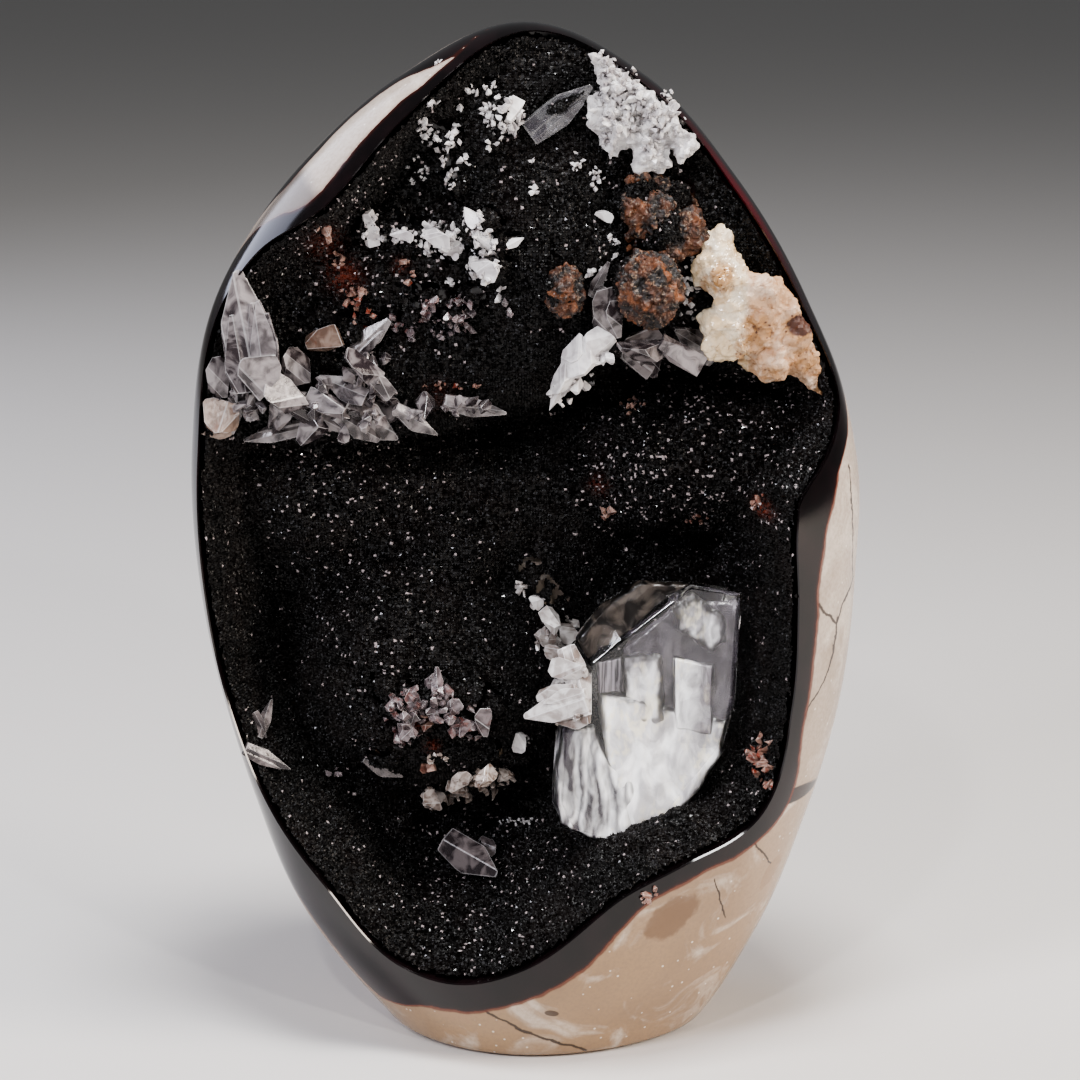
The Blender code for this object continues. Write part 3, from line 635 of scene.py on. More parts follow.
def mark_all(on: bool) -> None:
    """Select or deselect all objects."""
    bpy.ops.object.select_all(action="SELECT" if on else "DESELECT")


def only(piece: bpy.types.Object) -> None:
    """Make a piece the only selected and the active one.

    Args:
        piece: the piece.
    """
    mark_all(False)
    piece.select_set(True)
    bpy.context.view_layer.objects.active = piece


def apply_modifier(piece: bpy.types.Object, kind: str, **settings: object) -> None:
    """Add a modifier to a piece and apply it.

    Args:
        piece: the piece.
        kind: the modifier's Blender type.
        settings: its properties.
    """
    only(piece)
    modifier = piece.modifiers.new(kind.title(), kind)
    for name, value in settings.items():
        setattr(modifier, name, value)
    bpy.ops.object.modifier_apply(modifier=modifier.name)


def copy_of_node(node: str, name: str) -> bpy.types.Object:
    """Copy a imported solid, with its loose triangles joined up.

    Args:
        node: the solid's name.
        name: the copy's name.

    Returns:
        The copy.
    """
    piece = bpy.data.objects.new(name, frame["nodes"][node].data.copy())
    bpy.context.scene.collection.objects.link(piece)
    piece.data.materials.clear()
    only(piece)
    bpy.ops.object.mode_set(mode="EDIT")
    bpy.ops.mesh.select_all(action="SELECT")
    bpy.ops.mesh.remove_doubles(threshold=0.01 * MM)
    bpy.ops.object.mode_set(mode="OBJECT")
    return piece


def corners_of(mesh: bpy.types.Mesh) -> np.ndarray:
    """Read the places of a mesh's points.

    Args:
        mesh: the mesh.

    Returns:
        The places, one row each.
    """
    places = np.empty(len(mesh.vertices) * 3)
    mesh.vertices.foreach_get("co", places)
    return places.reshape(-1, 3)


def move_corners(mesh: bpy.types.Mesh, places: np.ndarray) -> None:
    """Put a mesh's points at new places."""
    mesh.vertices.foreach_set("co", places.ravel())
    mesh.update()


def set_attribute(mesh: bpy.types.Mesh, name: str, values: np.ndarray, domain: str = "POINT") -> None:
    """Give a mesh an attribute that its material reads."""
    attribute = mesh.attributes.new(name, "FLOAT", domain)
    attribute.data.foreach_set("value", np.asarray(values, np.float32))


def tree_of(piece: bpy.types.Object) -> BVHTree:
    """Make a search tree over a piece's faces.

    Args:
        piece: the piece.

    Returns:
        The tree.
    """
    mesh = piece.data
    points = [v.co.copy() for v in mesh.vertices]
    return BVHTree.FromPolygons(points, [tuple(p.vertices) for p in mesh.polygons])


def hand_over(
    piece: bpy.types.Object, finish: bpy.types.Material, slot: str, *nodes: str
) -> bpy.types.Object:
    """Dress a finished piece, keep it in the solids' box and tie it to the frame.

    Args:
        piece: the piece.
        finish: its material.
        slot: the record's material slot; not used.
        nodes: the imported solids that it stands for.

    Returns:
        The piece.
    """
    move_corners(piece.data, np.clip(corners_of(piece.data), *CAD_BOX))
    piece.data.materials.clear()
    piece.data.materials.append(finish)
    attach(piece, "root")
    if nodes:
        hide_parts(*nodes)
    LOG.info("%s: %d faces", piece.name, len(piece.data.polygons))
    return piece


@dataclass
class Studio:
    """The pale floor, the soft lights and the camera at the photograph's angle."""

    elevation: float = math.radians(14.0)
    distance: float = 0.703
    target: Vector = Vector((0.0033, -0.0040, 0.1165))
    lens_mm: float = 100.0
    sensor_mm: float = 36.0
    picture_px: int = 1080
    floor_radius: float = 6.0
    # a hair below the stone, so that the two faces don't share a plane
    floor_drop: float = 0.0002
    air_colour: str = "#e9ebee"
    air_strength: float = 0.14
    # name, place and size in metres, watts and colour
    lights: tuple = (
        ("key", (-0.62, -0.62, 0.60), 0.24, 6.0, "#f6f5ff"),
        ("fill", (0.90, -0.28, 0.46), 0.34, 9.5, "#fff2e6"),
        ("back", (-0.75, 0.55, 0.55), 0.60, 3.5, "#e4e9ff"),
        ("glint_left", (-0.20, -0.80, 0.86), 0.05, 2.2, "#ffffff"),
        ("glint_right", (0.42, -0.75, 0.62), 0.05, 2.0, "#ffffff"),
        ("top", (0.06, -0.16, 1.0), 0.28, 9.0, "#ffffff"),
    )

    def camera_place(self) -> Vector:
        """Where the camera stands."""
        away = Vector((0.0, -math.cos(self.elevation), math.sin(self.elevation)))
        return self.target + away * self.distance

    def camera_axes(self) -> tuple[Vector, Vector, Vector]:
        """The directions ahead of the camera, to its right and to its top.

        Returns:
            The first a unit long, and the other two as long as a pixel is wide at a unit's distance.
        """
        ahead = (self.target - self.camera_place()).normalized()
        right = ahead.cross(UP).normalized()
        pixel = self.sensor_mm / self.lens_mm / self.picture_px
        return ahead, right * pixel, right.cross(ahead) * pixel

    def sightline(self, px: float, py: float) -> tuple[Vector, Vector]:
        """The line of sight through a pixel of the photograph.

        Args:
            px: the pixel from the left.
            py: the pixel from the top.

        Returns:
            Where it starts and its direction.
        """
        ahead, right, top = self.camera_axes()
        half = self.picture_px / 2
        return self.camera_place(), (ahead + right * (px - half) - top * (py - half)).normalized()

    def on_plane(self, px: float, py: float, depth: float) -> tuple[float, float]:
        """Where the line of sight through a pixel crosses the upright plane at a depth y.

        Args:
            px: the pixel from the left.
            py: the pixel from the top.
            depth: the plane's y in mm.

        Returns:
            The place's x and z in mm.
        """
        start, ahead = self.sightline(px, py)
        place = start + ahead * ((depth * MM - start.y) / ahead.y)
        return place.x / MM, place.z / MM

    def pixels(self, places: np.ndarray) -> np.ndarray:
        """The pixels of the photograph at which some points lie.

        Args:
            places: the points, one row each.

        Returns:
            The pixels from the left and from the top, one row for each point.
        """
        ahead, right, top = (np.array(axis) for axis in self.camera_axes())
        away = places - np.array(self.camera_place())
        pixel = np.dot(right, right)
        seen = np.stack([away @ right, -(away @ top)], 1) / (away @ ahead)[:, None] / pixel
        return seen + self.picture_px / 2

    def build(self) -> None:
        """Set up the camera, the floor, the lights and the air around them."""
        bpy.ops.object.camera_add(location=self.camera_place())
        camera = bpy.context.object
        camera.rotation_euler = (self.target - camera.location).to_track_quat("-Z", "Y").to_euler()
        camera.data.lens = self.lens_mm
        camera.data.sensor_width = self.sensor_mm
        bpy.context.scene.camera = camera
        bpy.ops.mesh.primitive_circle_add(vertices=96, radius=self.floor_radius, fill_type="NGON")
        floor = bpy.context.object
        floor.name = "floor"
        floor.location.z = -self.floor_drop
        made, tree, shader, _ = new_material("matt_pale_paper")
        plug(tree, shader, {"Base Color": "#d8d5d2", "Roughness": 0.7})
        floor.data.materials.append(made)
        for name, place, size, power, colour in self.lights:
            bpy.ops.object.light_add(type="AREA", location=place)
            light = bpy.context.object
            light.name = f"{name}_light"
            light.rotation_euler = (self.target - Vector(place)).to_track_quat("-Z", "Y").to_euler()
            light.data.size = size
            light.data.energy = power
            light.data.color = linear(colour)[:3]
        world = bpy.data.worlds.new("studio_air")
        bpy.context.scene.world = world
        world.use_nodes = True
        air = world.node_tree.nodes["Background"].inputs
        air["Color"].default_value = linear(self.air_colour)
        air["Strength"].default_value = self.air_strength
        bpy.context.scene.view_settings.look = "AgX - Medium High Contrast"


@dataclass
class PolishedBody:
    """The limestone body: a polished lopsided egg, its rim, the wall behind the druse and the flat foot."""

    segments: int = 288
    hollow_rings: int = 36
    lip_rings: int = 2
    side_rings: int = 22
    back_rings: int = 54
    centre_x: float = -0.3 * MM
    centre_z: float = 110.0 * MM
    middle_y: float = -4.0 * MM
    front_depth: float = 49.4 * MM
    back_depth: float = 49.95 * MM
    skin: float = 0.9988
    fullness: float = 2.25
    lip_depth: float = 3.0 * MM
    lip_inset: float = 0.45 * MM
    arris: float = 0.35 * MM
    # a depth y before the whole body
    well_ahead: float = -0.2
    # how high the softened edge of the cut is, how far it draws in, and the rings that it gets
    foot_edge: float = 1.6 * MM
    foot_pull: float = 0.035
    foot_rings: tuple = (1.0, 0.6, 0.3, 0.1)
    # a share of the arris within which a point still counts as polished
    arris_share: float = 0.7
    smooth_below: float = math.radians(35)
    # the share of the depth past which a point's reach tells its turn better
    blunt_share: float = 0.8
    run_steps: int = 24
    # where the thin edge of the vein lets the light through: angle and reach in degrees, and how far past
    # the rim it is strongest and over how much it fades, in mm
    glow_middle: float = 61.0
    glow_reach: float = 9.0
    glow_run: float = 1.5
    glow_fade: float = 4.0
    glow_peak: float = 1.2
    # angle in degrees, length in mm and share of it at which the rim lies, of the spokes that draw the egg
    spokes: tuple = (
        (0, 77.4, 0.80), (20, 82.0, 0.80), (26, 83.8, 0.925), (31, 85.6, 0.978), (45, 91.4, 0.982),
        (62, 103.5, 0.984), (76, 117.4, 0.990), (90, 126.6, 0.990), (104, 117.7, 0.937),
        (116, 108.8, 0.908), (128, 101.2, 0.962), (138, 95.5, 0.976), (158, 83.0, 0.967),
        (180, 76.3, 0.972), (202, 77.0, 0.972), (220, 84.0, 0.94), (236, 97.0, 0.855), (252, 112.7, 0.82),
        (270, 135.8, 0.625), (288, 121.1, 0.585), (302, 104.4, 0.675), (318, 89.6, 0.83),
        (338, 80.4, 0.82),
    )
    # angle, then widths in mm outwards from the rim: the dark vein, the lens of limestone past it, and the
    # second dark vein past that
    vein_widths: tuple = (
        (0, 6.2, 0, 0), (7, 7.4, 0, 0), (14, 10, 0, 0), (20, 14, 0, 0), (25, 11.5, 0, 0), (29, 9, 0, 0),
        (36, 12, 0, 0), (45, 15, 0, 0), (76, 16, 0, 0), (90, 16, 0, 0), (97, 4, 0.6, 13),
        (100, 4.5, 4, 11), (103, 5, 10, 8), (106, 5.7, 12, 8), (110, 5.6, 14, 7), (113, 5, 15, 7),
        (118, 4, 14.5, 7), (121, 5, 11.5, 8), (124, 6.8, 9.5, 6), (128, 9.6, 7, 6), (133, 13, 2, 6),
        (138, 18, 0, 0), (180, 18, 0, 0), (220, 18, 0, 0), (240, 18, 0, 0), (251, 19, 0, 0),
        (257, 8.8, 0, 0), (265, 8.1, 0, 0), (273, 9, 0, 0), (280, 9.6, 0, 0), (287, 6.5, 0, 0),
        (293, 3.8, 0, 0), (303, 4.2, 0, 0), (311, 5.2, 0, 0), (317, 5.8, 0, 0), (322, 7, 0, 0),
        (332, 4.6, 0, 0), (339, 4.8, 0, 0), (351, 5.3, 0, 0),
    )

    def rings(self) -> int:
        """How many rings the body has from its front pole to its back one."""
        return self.hollow_rings + self.lip_rings + self.side_rings + self.back_rings

    def spoke(self, degrees: np.ndarray, column: int) -> np.ndarray:
        """Read a column of the spokes at some angles, on a smooth closed curve through its rows.

        Args:
            degrees: the angles.
            column: which column.

        Returns:
            The values.
        """
        rows = np.array(self.spokes, float)
        at = np.concatenate([rows[-2:, 0] - 360, rows[:, 0], rows[:2, 0] + 360])
        value = np.concatenate([rows[-2:, column], rows[:, column], rows[:2, column]])
        degrees = np.mod(degrees, 360.0)
        i = np.clip(np.searchsorted(at, degrees, side="right") - 1, 1, len(at) - 3)
        width = at[i + 1] - at[i]
        t = (degrees - at[i]) / width
        slope_in = (value[i + 1] - value[i - 1]) / (at[i + 1] - at[i - 1]) * width
        slope_out = (value[i + 2] - value[i]) / (at[i + 2] - at[i]) * width
        return (
            (2 * t**3 - 3 * t**2 + 1) * value[i]
            + (t**3 - 2 * t**2 + t) * slope_in
            + (3 * t**2 - 2 * t**3) * value[i + 1]
            + (t**3 - t**2) * slope_out
        )

    def surface(self, degrees: np.ndarray, turn: np.ndarray) -> np.ndarray:
        """Points of the polished surface.

        Args:
            degrees: the spoke's angle.
            turn: how far round the section, from 0 in front over half pi at the outline to pi behind.

        Returns:
            The points, one row each.
        """
        reach = self.spoke(degrees, 1) * MM * self.skin * np.sin(turn) ** (2 / self.fullness)
        side = np.cos(turn)
        deepest = np.where(side > 0, -self.front_depth * self.skin, self.back_depth)
        depth = deepest * np.abs(side) ** (2 / self.fullness)
        radians = np.radians(degrees)
        across, up = reach * np.cos(radians), reach * np.sin(radians)
        return np.stack([self.centre_x + across, self.middle_y + depth, self.centre_z + up], 1)

    def rim_turn(self, degrees: np.ndarray) -> np.ndarray:
        """How far round the section the rim lies, at some angles."""
        return np.arcsin(self.spoke(degrees, 2) ** (self.fullness / 2))

    def inward(self, degrees: np.ndarray) -> np.ndarray:
        """The directions from the outline to the centre, seen from the front."""
        radians = np.radians(degrees)
        return np.stack([-np.cos(radians), np.zeros_like(radians), -np.sin(radians)], 1)

    def shape(self, piece: bpy.types.Object) -> None:
        """Move the points of a ball, whose poles lie in front and behind, onto the body.

        Args:
            piece: the ball, of radius 1.
        """
        at = corners_of(piece.data)
        degrees = np.degrees(np.arctan2(at[:, 2], at[:, 0]))
        ring = np.rint(np.arccos(np.clip(-at[:, 1], -1, 1)) / math.pi * self.rings())
        rim = self.hollow_rings + self.lip_rings
        start = self.rim_turn(degrees)
        side = np.clip((ring - rim) / self.side_rings, 0, 1)
        behind = np.clip((ring - rim - self.side_rings) / self.back_rings, 0, 1)
        turn = start + (math.pi / 2 - start) * side + math.pi / 2 * behind
        places = self.surface(degrees, np.minimum(turn, math.pi - 1e-9))
        lip = ring <= rim - 1
        inward = self.inward(degrees)
        places[lip] += inward[lip] * self.arris + np.array([0, self.arris, 0])
        wall = ring <= rim - 2
        places[wall] += inward[wall] * (self.lip_inset - self.arris) + np.array([0, self.lip_depth, 0])
        stone = tree_of(frame["nodes"]["nodule"])
        centre = np.array([self.centre_x, 0, self.centre_z])
        for i in np.flatnonzero(ring < self.hollow_rings):
            share = ring[i] / self.hollow_rings
            x, _, z = centre + (places[i] - centre) * share
            hit = stone.ray_cast(Vector((x, self.well_ahead, z)), Vector((0.0, 1.0, 0.0)))[0]
            places[i] = (x, hit.y, z)
        move_corners(piece.data, places)

    def cut_foot(self, piece: bpy.types.Object) -> None:
        """Cut the body flat at the floor and soften the edge of the cut.

        Args:
            piece: the body.
        """
        only(piece)
        bpy.ops.object.mode_set(mode="EDIT")
        bisect = partial(bpy.ops.mesh.bisect, plane_no=(0, 0, 1), threshold=CLOSE)
        for share in self.foot_rings:
            bpy.ops.mesh.select_all(action="SELECT")
            bisect(plane_co=(0, 0, self.foot_edge * share))
        bpy.ops.mesh.select_all(action="SELECT")
        bisect(plane_co=(0, 0, 0), clear_inner=True, use_fill=True)
        bpy.ops.object.mode_set(mode="OBJECT")
        at = corners_of(piece.data)
        foot = at[at[:, 2] < CLOSE]
        middle = (foot.min(0) + foot.max(0)) / 2
        low = np.clip(1 - at[:, 2] / self.foot_edge, 0, 1) ** 2 * self.foot_pull
        at[:, :2] += (middle[:2] - at[:, :2]) * low[:, None]
        move_corners(piece.data, at)

    def run_from_rim(self, at: np.ndarray) -> tuple[np.ndarray, np.ndarray]:
        """How far over the polished surface some points lie from the rim.

        Args:
            at: the points, one row each.

        Returns:
            Each point's angle in degrees and its distance in mm, below 0 in the hollow.
        """
        degrees = np.degrees(np.arctan2(at[:, 2] - self.centre_z, at[:, 0] - self.centre_x))
        reach = np.hypot(at[:, 2] - self.centre_z, at[:, 0] - self.centre_x)
        full = self.spoke(degrees, 1) * MM * self.skin
        behind = at[:, 1] > self.middle_y
        depth = np.where(behind, self.back_depth, self.front_depth * self.skin)
        side = np.clip(np.abs(at[:, 1] - self.middle_y) / depth, 0, 1) ** (self.fullness / 2)
        by_reach = np.arcsin(np.clip(reach / full, 0, 1) ** (self.fullness / 2))
        turn = np.where(side < self.blunt_share, np.arccos(side), by_reach)
        polished = full * np.sin(np.arccos(side)) ** (2 / self.fullness)
        hollow = (reach < polished - self.arris * self.arris_share) & ~behind
        turn = np.where(behind, math.pi - turn, turn)
        start = self.rim_turn(degrees)
        run = np.zeros(len(at))
        before = self.surface(degrees, start)
        for step in range(1, self.run_steps + 1):
            point = self.surface(degrees, start + (turn - start) * step / self.run_steps)
            run += np.linalg.norm(point - before, axis=1)
            before = point
        hollow = (hollow | (turn < start - CLOSE)) & (at[:, 2] > self.foot_edge)
        return degrees % 360, np.where(hollow, -1.0, run / MM)

    def mark_stone(self, mesh: bpy.types.Mesh) -> None:
        """Give the body the attribute stone: mm past the vein into the limestone, below 0 in the vein.

        Args:
            mesh: the body's mesh.
        """
        degrees, run = self.run_from_rim(corners_of(mesh))
        rows = np.array(self.vein_widths, float)
        at = np.concatenate([rows[-1:, 0] - 360, rows[:, 0], rows[:1, 0] + 360])
        rows = np.concatenate([rows[-1:], rows, rows[:1]])
        first, lens, second = (np.interp(degrees, at, rows[:, column]) for column in (1, 2, 3))
        past = run - first - lens - second
        lens = np.minimum(run - first, first + lens - run)
        set_attribute(mesh, "stone", np.where(run < 0, -3.0, np.maximum(lens, past)))
        glow = np.exp(-(((degrees - self.glow_middle) / self.glow_reach) ** 2))
        near = np.clip(self.glow_peak - np.abs(run - self.glow_run) / self.glow_fade, 0, 1)
        set_attribute(mesh, "glow", glow * near)

    def build(self, finish: bpy.types.Material) -> bpy.types.Object:
        """Make the body.

        Args:
            finish: its material.

        Returns:
            The finished piece.
        """
        mark_all(False)
        facing_front = (math.pi / 2, 0.0, 0.0)
        bpy.ops.mesh.primitive_uv_sphere_add(
            segments=self.segments, ring_count=self.rings(), radius=1.0, rotation=facing_front
        )
        piece = bpy.context.object
        piece.name = "polished_body"
        bpy.ops.object.transform_apply(location=True, rotation=True, scale=True)
        self.shape(piece)
        self.cut_foot(piece)
        self.mark_stone(piece.data)
        bpy.ops.object.shade_smooth_by_angle(angle=self.smooth_below)
        return hand_over(piece, finish, "limestone", "nodule")


@dataclass(frozen=True)
class Patch:
    """A round patch of the lining, in mm, that holds more of something."""

    x: float
    z: float
    radius: float
    share: float


@dataclass
class DruseLining:
    """The crust of small dark crystals over the whole hollow."""

    voxel: float = 0.66 * MM
    # a face is in front where its outward direction has a y below this
    front_lean: float = -0.02
    smoothing: int = 12
    swell: tuple = ((6.5 * MM, 0.75 * MM), (2.4 * MM, 0.42 * MM))
    scatter: float = 0.17 * MM
    point_low: float = 0.10 * MM
    point_high: float = 0.50 * MM
    # the pieces from the top down, each above a height in mm
    cuts: tuple = (("druse_dome", 172.0), ("druse_upper", 131.0), ("druse_lower", 88.0))
    # shares of the points: pale ones, partly white grains and partly painted glints, and clean, glossy ones,
    # everywhere and by a patch's share
    pale_everywhere: float = 0.003
    pale_by_patch: float = 0.6
    gloss_everywhere: float = 0.025
    gloss_by_patch: float = 3.4
    dull_gloss: float = 0.3
    pale_patches: tuple = tuple(Patch(*row) for row in (
        (45, 150, 22, 0.05), (38, 131, 20, 0.07), (-40, 131, 26, 0.05), (-45, 190, 22, 0.05),
        (-25, 180, 18, 0.04), (-28, 88, 20, 0.03), (-15, 28, 24, 0.05), (20, 132, 14, 0.05),
        (14, 190, 18, 0.03), (60, 60, 10, 0.10),
    ))
    rust_patches: tuple = tuple(Patch(*row) for row in (
        (-45, 188, 4, 0.5), (-41, 180, 4, 0.6), (-28, 183, 2, 0.4), (50, 212, 5, 0.45),
        (57, 200, 5, 0.45), (62, 188, 4, 0.35), (17, 129, 2.5, 0.3), (54, 128, 2, 0.6),
        (-25, 76, 2.5, 0.5), (-22, 69, 2, 0.5), (-20, 152, 4, 0.15),
    ))

    def skin(self) -> bpy.types.Object:
        """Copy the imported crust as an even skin, keep its front and let it swell into lumps.

        Returns:
            The skin.
        """
        piece = copy_of_node("druse_crust", "druse_lining")
        nearest = tree_of(frame["nodes"]["druse_crust"])
        apply_modifier(piece, "REMESH", mode="VOXEL", voxel_size=self.voxel, adaptivity=0.0)
        apply_modifier(piece, "SMOOTH", factor=0.5, iterations=self.smoothing)
        mesh = piece.data
        at = corners_of(mesh)
        behind = np.array([nearest.find_nearest(Vector(p))[1].y > self.front_lean for p in at])
        body = bmesh.new()
        body.from_mesh(mesh)
        body.verts.ensure_lookup_table()
        bmesh.ops.delete(body, geom=[body.verts[i] for i in np.flatnonzero(behind)], context="VERTS")
        body.to_mesh(mesh)
        body.free()
        at = corners_of(mesh)
        normals = np.array([v.normal for v in mesh.vertices])
        for size, height in self.swell:
            rise = np.array([noise.noise(Vector(p) / size) for p in at]) * height
            at += normals * rise[:, None]
        move_corners(mesh, at)
        return piece

    def patch_share(self, at: np.ndarray, patches: tuple) -> np.ndarray:
        """How much some points lie in patches.

        Args:
            at: the points, one row each.
            patches: the patches.

        Returns:
            The sum of the patches' shares, each fading to its edge.
        """
        total = np.zeros(len(at))
        for patch in patches:
            away = np.hypot(at[:, 0] / MM - patch.x, at[:, 2] / MM - patch.z) / patch.radius
            total += patch.share * np.exp(-((away * 1.2) ** 2))
        return total

    def grow_points(self, piece: bpy.types.Object, draw: np.random.Generator) -> None:
        """Raise a small crystal on every face, each a little different.

        Args:
            piece: the skin.
            draw: the source of chance.
        """
        mesh = piece.data
        at = corners_of(mesh)
        at += draw.uniform(-self.scatter, self.scatter, at.shape)
        move_corners(mesh, at)
        base = len(at)
        only(piece)
        bpy.ops.object.mode_set(mode="EDIT")
        bpy.ops.mesh.select_all(action="SELECT")
        bpy.ops.mesh.poke(offset=self.point_low)
        bpy.ops.object.mode_set(mode="OBJECT")
        at = corners_of(mesh)
        normals = np.array([v.normal for v in mesh.vertices])
        count = len(at) - base
        high = draw.uniform(0, self.point_high - self.point_low, count)
        at[base:] += normals[base:] * high[:, None] + draw.uniform(-self.scatter, self.scatter, (count, 3))
        move_corners(mesh, at)
        chance = draw.uniform(0, 1, count)
        tips = at[base:]
        patched = self.patch_share(tips, self.pale_patches)
        # pale facets: partly white grains and partly painted glints
        pale = (chance < self.pale_everywhere + patched * self.pale_by_patch).astype(float)
        clean = draw.uniform(0, 1, count) < self.gloss_everywhere + patched * self.gloss_by_patch
        gloss = np.where(clean, 1.0, draw.uniform(0.0, self.dull_gloss, count))
        rust = np.clip(self.patch_share(tips, self.rust_patches) * draw.uniform(0, 2, count), 0, 1)
        corner = np.empty(len(mesh.polygons) * 3, int)
        mesh.loops.foreach_get("vertex_index", corner)
        tip_of = corner.reshape(-1, 3).max(1) - base
        set_attribute(mesh, "pale", pale[tip_of], "FACE")
        set_attribute(mesh, "rust", rust[tip_of], "FACE")
        set_attribute(mesh, "gloss", gloss[tip_of], "FACE")
        # tip: 1 at each crystal's point and 0 at its base, for the painted light on the points and painted
        # shade in the crevices
        set_attribute(mesh, "tip", np.arange(len(at)) >= base)

    def split_off(self, piece: bpy.types.Object, name: str, height: float) -> bpy.types.Object:
        """Part a piece from what lies above a height.

        Args:
            piece: the piece, which keeps what lies below.
            name: the name of the part above.
            height: the height.

        Returns:
            The part above.
        """
        only(piece)
        bpy.ops.object.mode_set(mode="EDIT")
        bpy.ops.mesh.select_mode(type="FACE")
        bpy.ops.mesh.select_all(action="DESELECT")
        bpy.ops.object.mode_set(mode="OBJECT")
        piece.data.polygons.foreach_set("select", [p.center.z > height for p in piece.data.polygons])
        bpy.ops.object.mode_set(mode="EDIT")
        bpy.ops.mesh.separate(type="SELECTED")
        bpy.ops.object.mode_set(mode="OBJECT")
        part = next(other for other in bpy.context.selected_objects if other != piece)
        part.name = name
        return part

    def build(self, finish: bpy.types.Material) -> BVHTree:
        """Make the lining, in four pieces one above the other.

        Args:
            finish: its material.

        Returns:
            A search tree over the lining, on which crystals are set.
        """
        piece = self.skin()
        ground = tree_of(piece)
        self.grow_points(piece, np.random.default_rng(3))
        parts = [self.split_off(piece, name, height * MM) for name, height in self.cuts]
        piece.name = "druse_bowl"
        for part in (piece, *parts):
            hand_over(part, finish, "black_druse", "druse_crust")
        return ground


class Habit(Enum):
    """The forms in which the calcite has grown, each with the planes that bound it beside its cube.

    A plane is its outward direction and its distance from the middle, for a crystal a unit long and wide.
    """

    BLADE = (
        ((0.60, 0.0, 0.46), 0.254), ((-0.45, 0.0, 0.48), 0.249), ((0.45, 0.0, -0.20), 0.235),
        ((-0.45, 0.0, -0.24), 0.240), ((0.62, 1.0, 0.25), 0.36), ((-0.40, 1.0, 0.30), 0.33),
        ((0.45, -1.0, 0.30), 0.34), ((-0.60, -1.0, 0.20), 0.37), ((0.15, -1.0, -0.35), 0.36),
    )
    POINT = (
        ((1.0, 0.0, 0.52), 0.28), ((0.5, 0.87, 0.44), 0.24), ((-0.5, 0.87, 0.56), 0.28),
        ((-1.0, 0.0, 0.50), 0.27),
        ((-0.5, -0.87, 0.48), 0.24), ((0.5, -0.87, 0.54), 0.28), ((0.9, 0.4, -0.25), 0.34),
        ((-0.9, 0.3, -0.3), 0.36),
    )
    RHOMB = (
        ((1.0, 0.30, 0.28), 0.40), ((-1.0, -0.30, -0.28), 0.40), ((0.22, 1.0, 0.26), 0.38),
        ((-0.22, -1.0, -0.26), 0.38), ((0.5, -0.6, 0.7), 0.48), ((-0.7, 0.3, 0.6), 0.50),
    )
    BLOCK = (
        ((0.9, 0.25, 0.5), 0.56), ((-0.85, 0.2, -0.6), 0.58), ((0.1, -1.0, 0.12), 0.46),
        ((0.12, 0.1, 1.0), 0.47),
    )
    CHUNK = (
        ((0.9, -0.5, 0.35), 0.38), ((-0.8, -0.6, 0.50), 0.40), ((0.2, -0.9, -0.6), 0.44),
        ((-0.3, 0.9, 0.4), 0.40),
        ((0.7, 0.3, -0.8), 0.50), ((-0.9, 0.1, -0.35), 0.42), ((0.15, -0.3, 1.0), 0.40),
        ((0.6, -0.1, 0.8), 0.47),
    )


# how many crystals of each habit are modelled
VARIANTS = 4
# the material index that marks a modelled crystal's bevelled edges
EDGE = 1


def model_habit(habit: Habit, draw: random.Random) -> bpy.types.Mesh:
    """Cut one crystal of a habit from a cube, a unit long along +Z and about a unit wide.

    Args:
        habit: the form.
        draw: the source of chance, so that no two are alike.

    Returns:
        Its mesh.
    """
    mark_all(False)
    bpy.ops.mesh.primitive_cube_add(size=1.0)
    piece = bpy.context.object
    bpy.ops.object.mode_set(mode="EDIT")
    for normal, distance in habit.value:
        turned = (Vector(normal) + Vector([draw.gauss(0, 0.09) for _ in range(3)])).normalized()
        far = distance / Vector(normal).length * draw.uniform(0.92, 1.10)
        bpy.ops.mesh.select_all(action="SELECT")
        bpy.ops.mesh.bisect(plane_co=turned * far, plane_no=turned, clear_outer=True, use_fill=True)
    bpy.ops.object.mode_set(mode="OBJECT")
    made = piece.data
    for _ in range(EDGE + 1):
        made.materials.append(None)
    apply_modifier(piece, "BEVEL", width=0.022, segments=1, limit_method="ANGLE", material=EDGE)
    bpy.data.objects.remove(piece)
    return made


@dataclass(frozen=True)
class Grown:
    """A crystal set by two pixels of the photograph: where it is rooted and where it points."""

    root_px: tuple[float, float]
    tip_px: tuple[float, float]
    width_mm: float
    habit: Habit = Habit.BLADE
    flat: float = 0.55
    proud_mm: float = 1.6
    roll: float = 0.0
    twins: int = 0


@dataclass(frozen=True)
class Cluster:
    """A group of small crystals, by the corners of its oval's box in pixels of the photograph."""

    left: float
    top: float
    right: float
    bottom: float
    grain_mm: float = 1.6
    fill: float = 1.3


BLADE, POINT, RHOMB, BLOCK, CHUNK = Habit
Placed = tuple[Habit, Matrix]

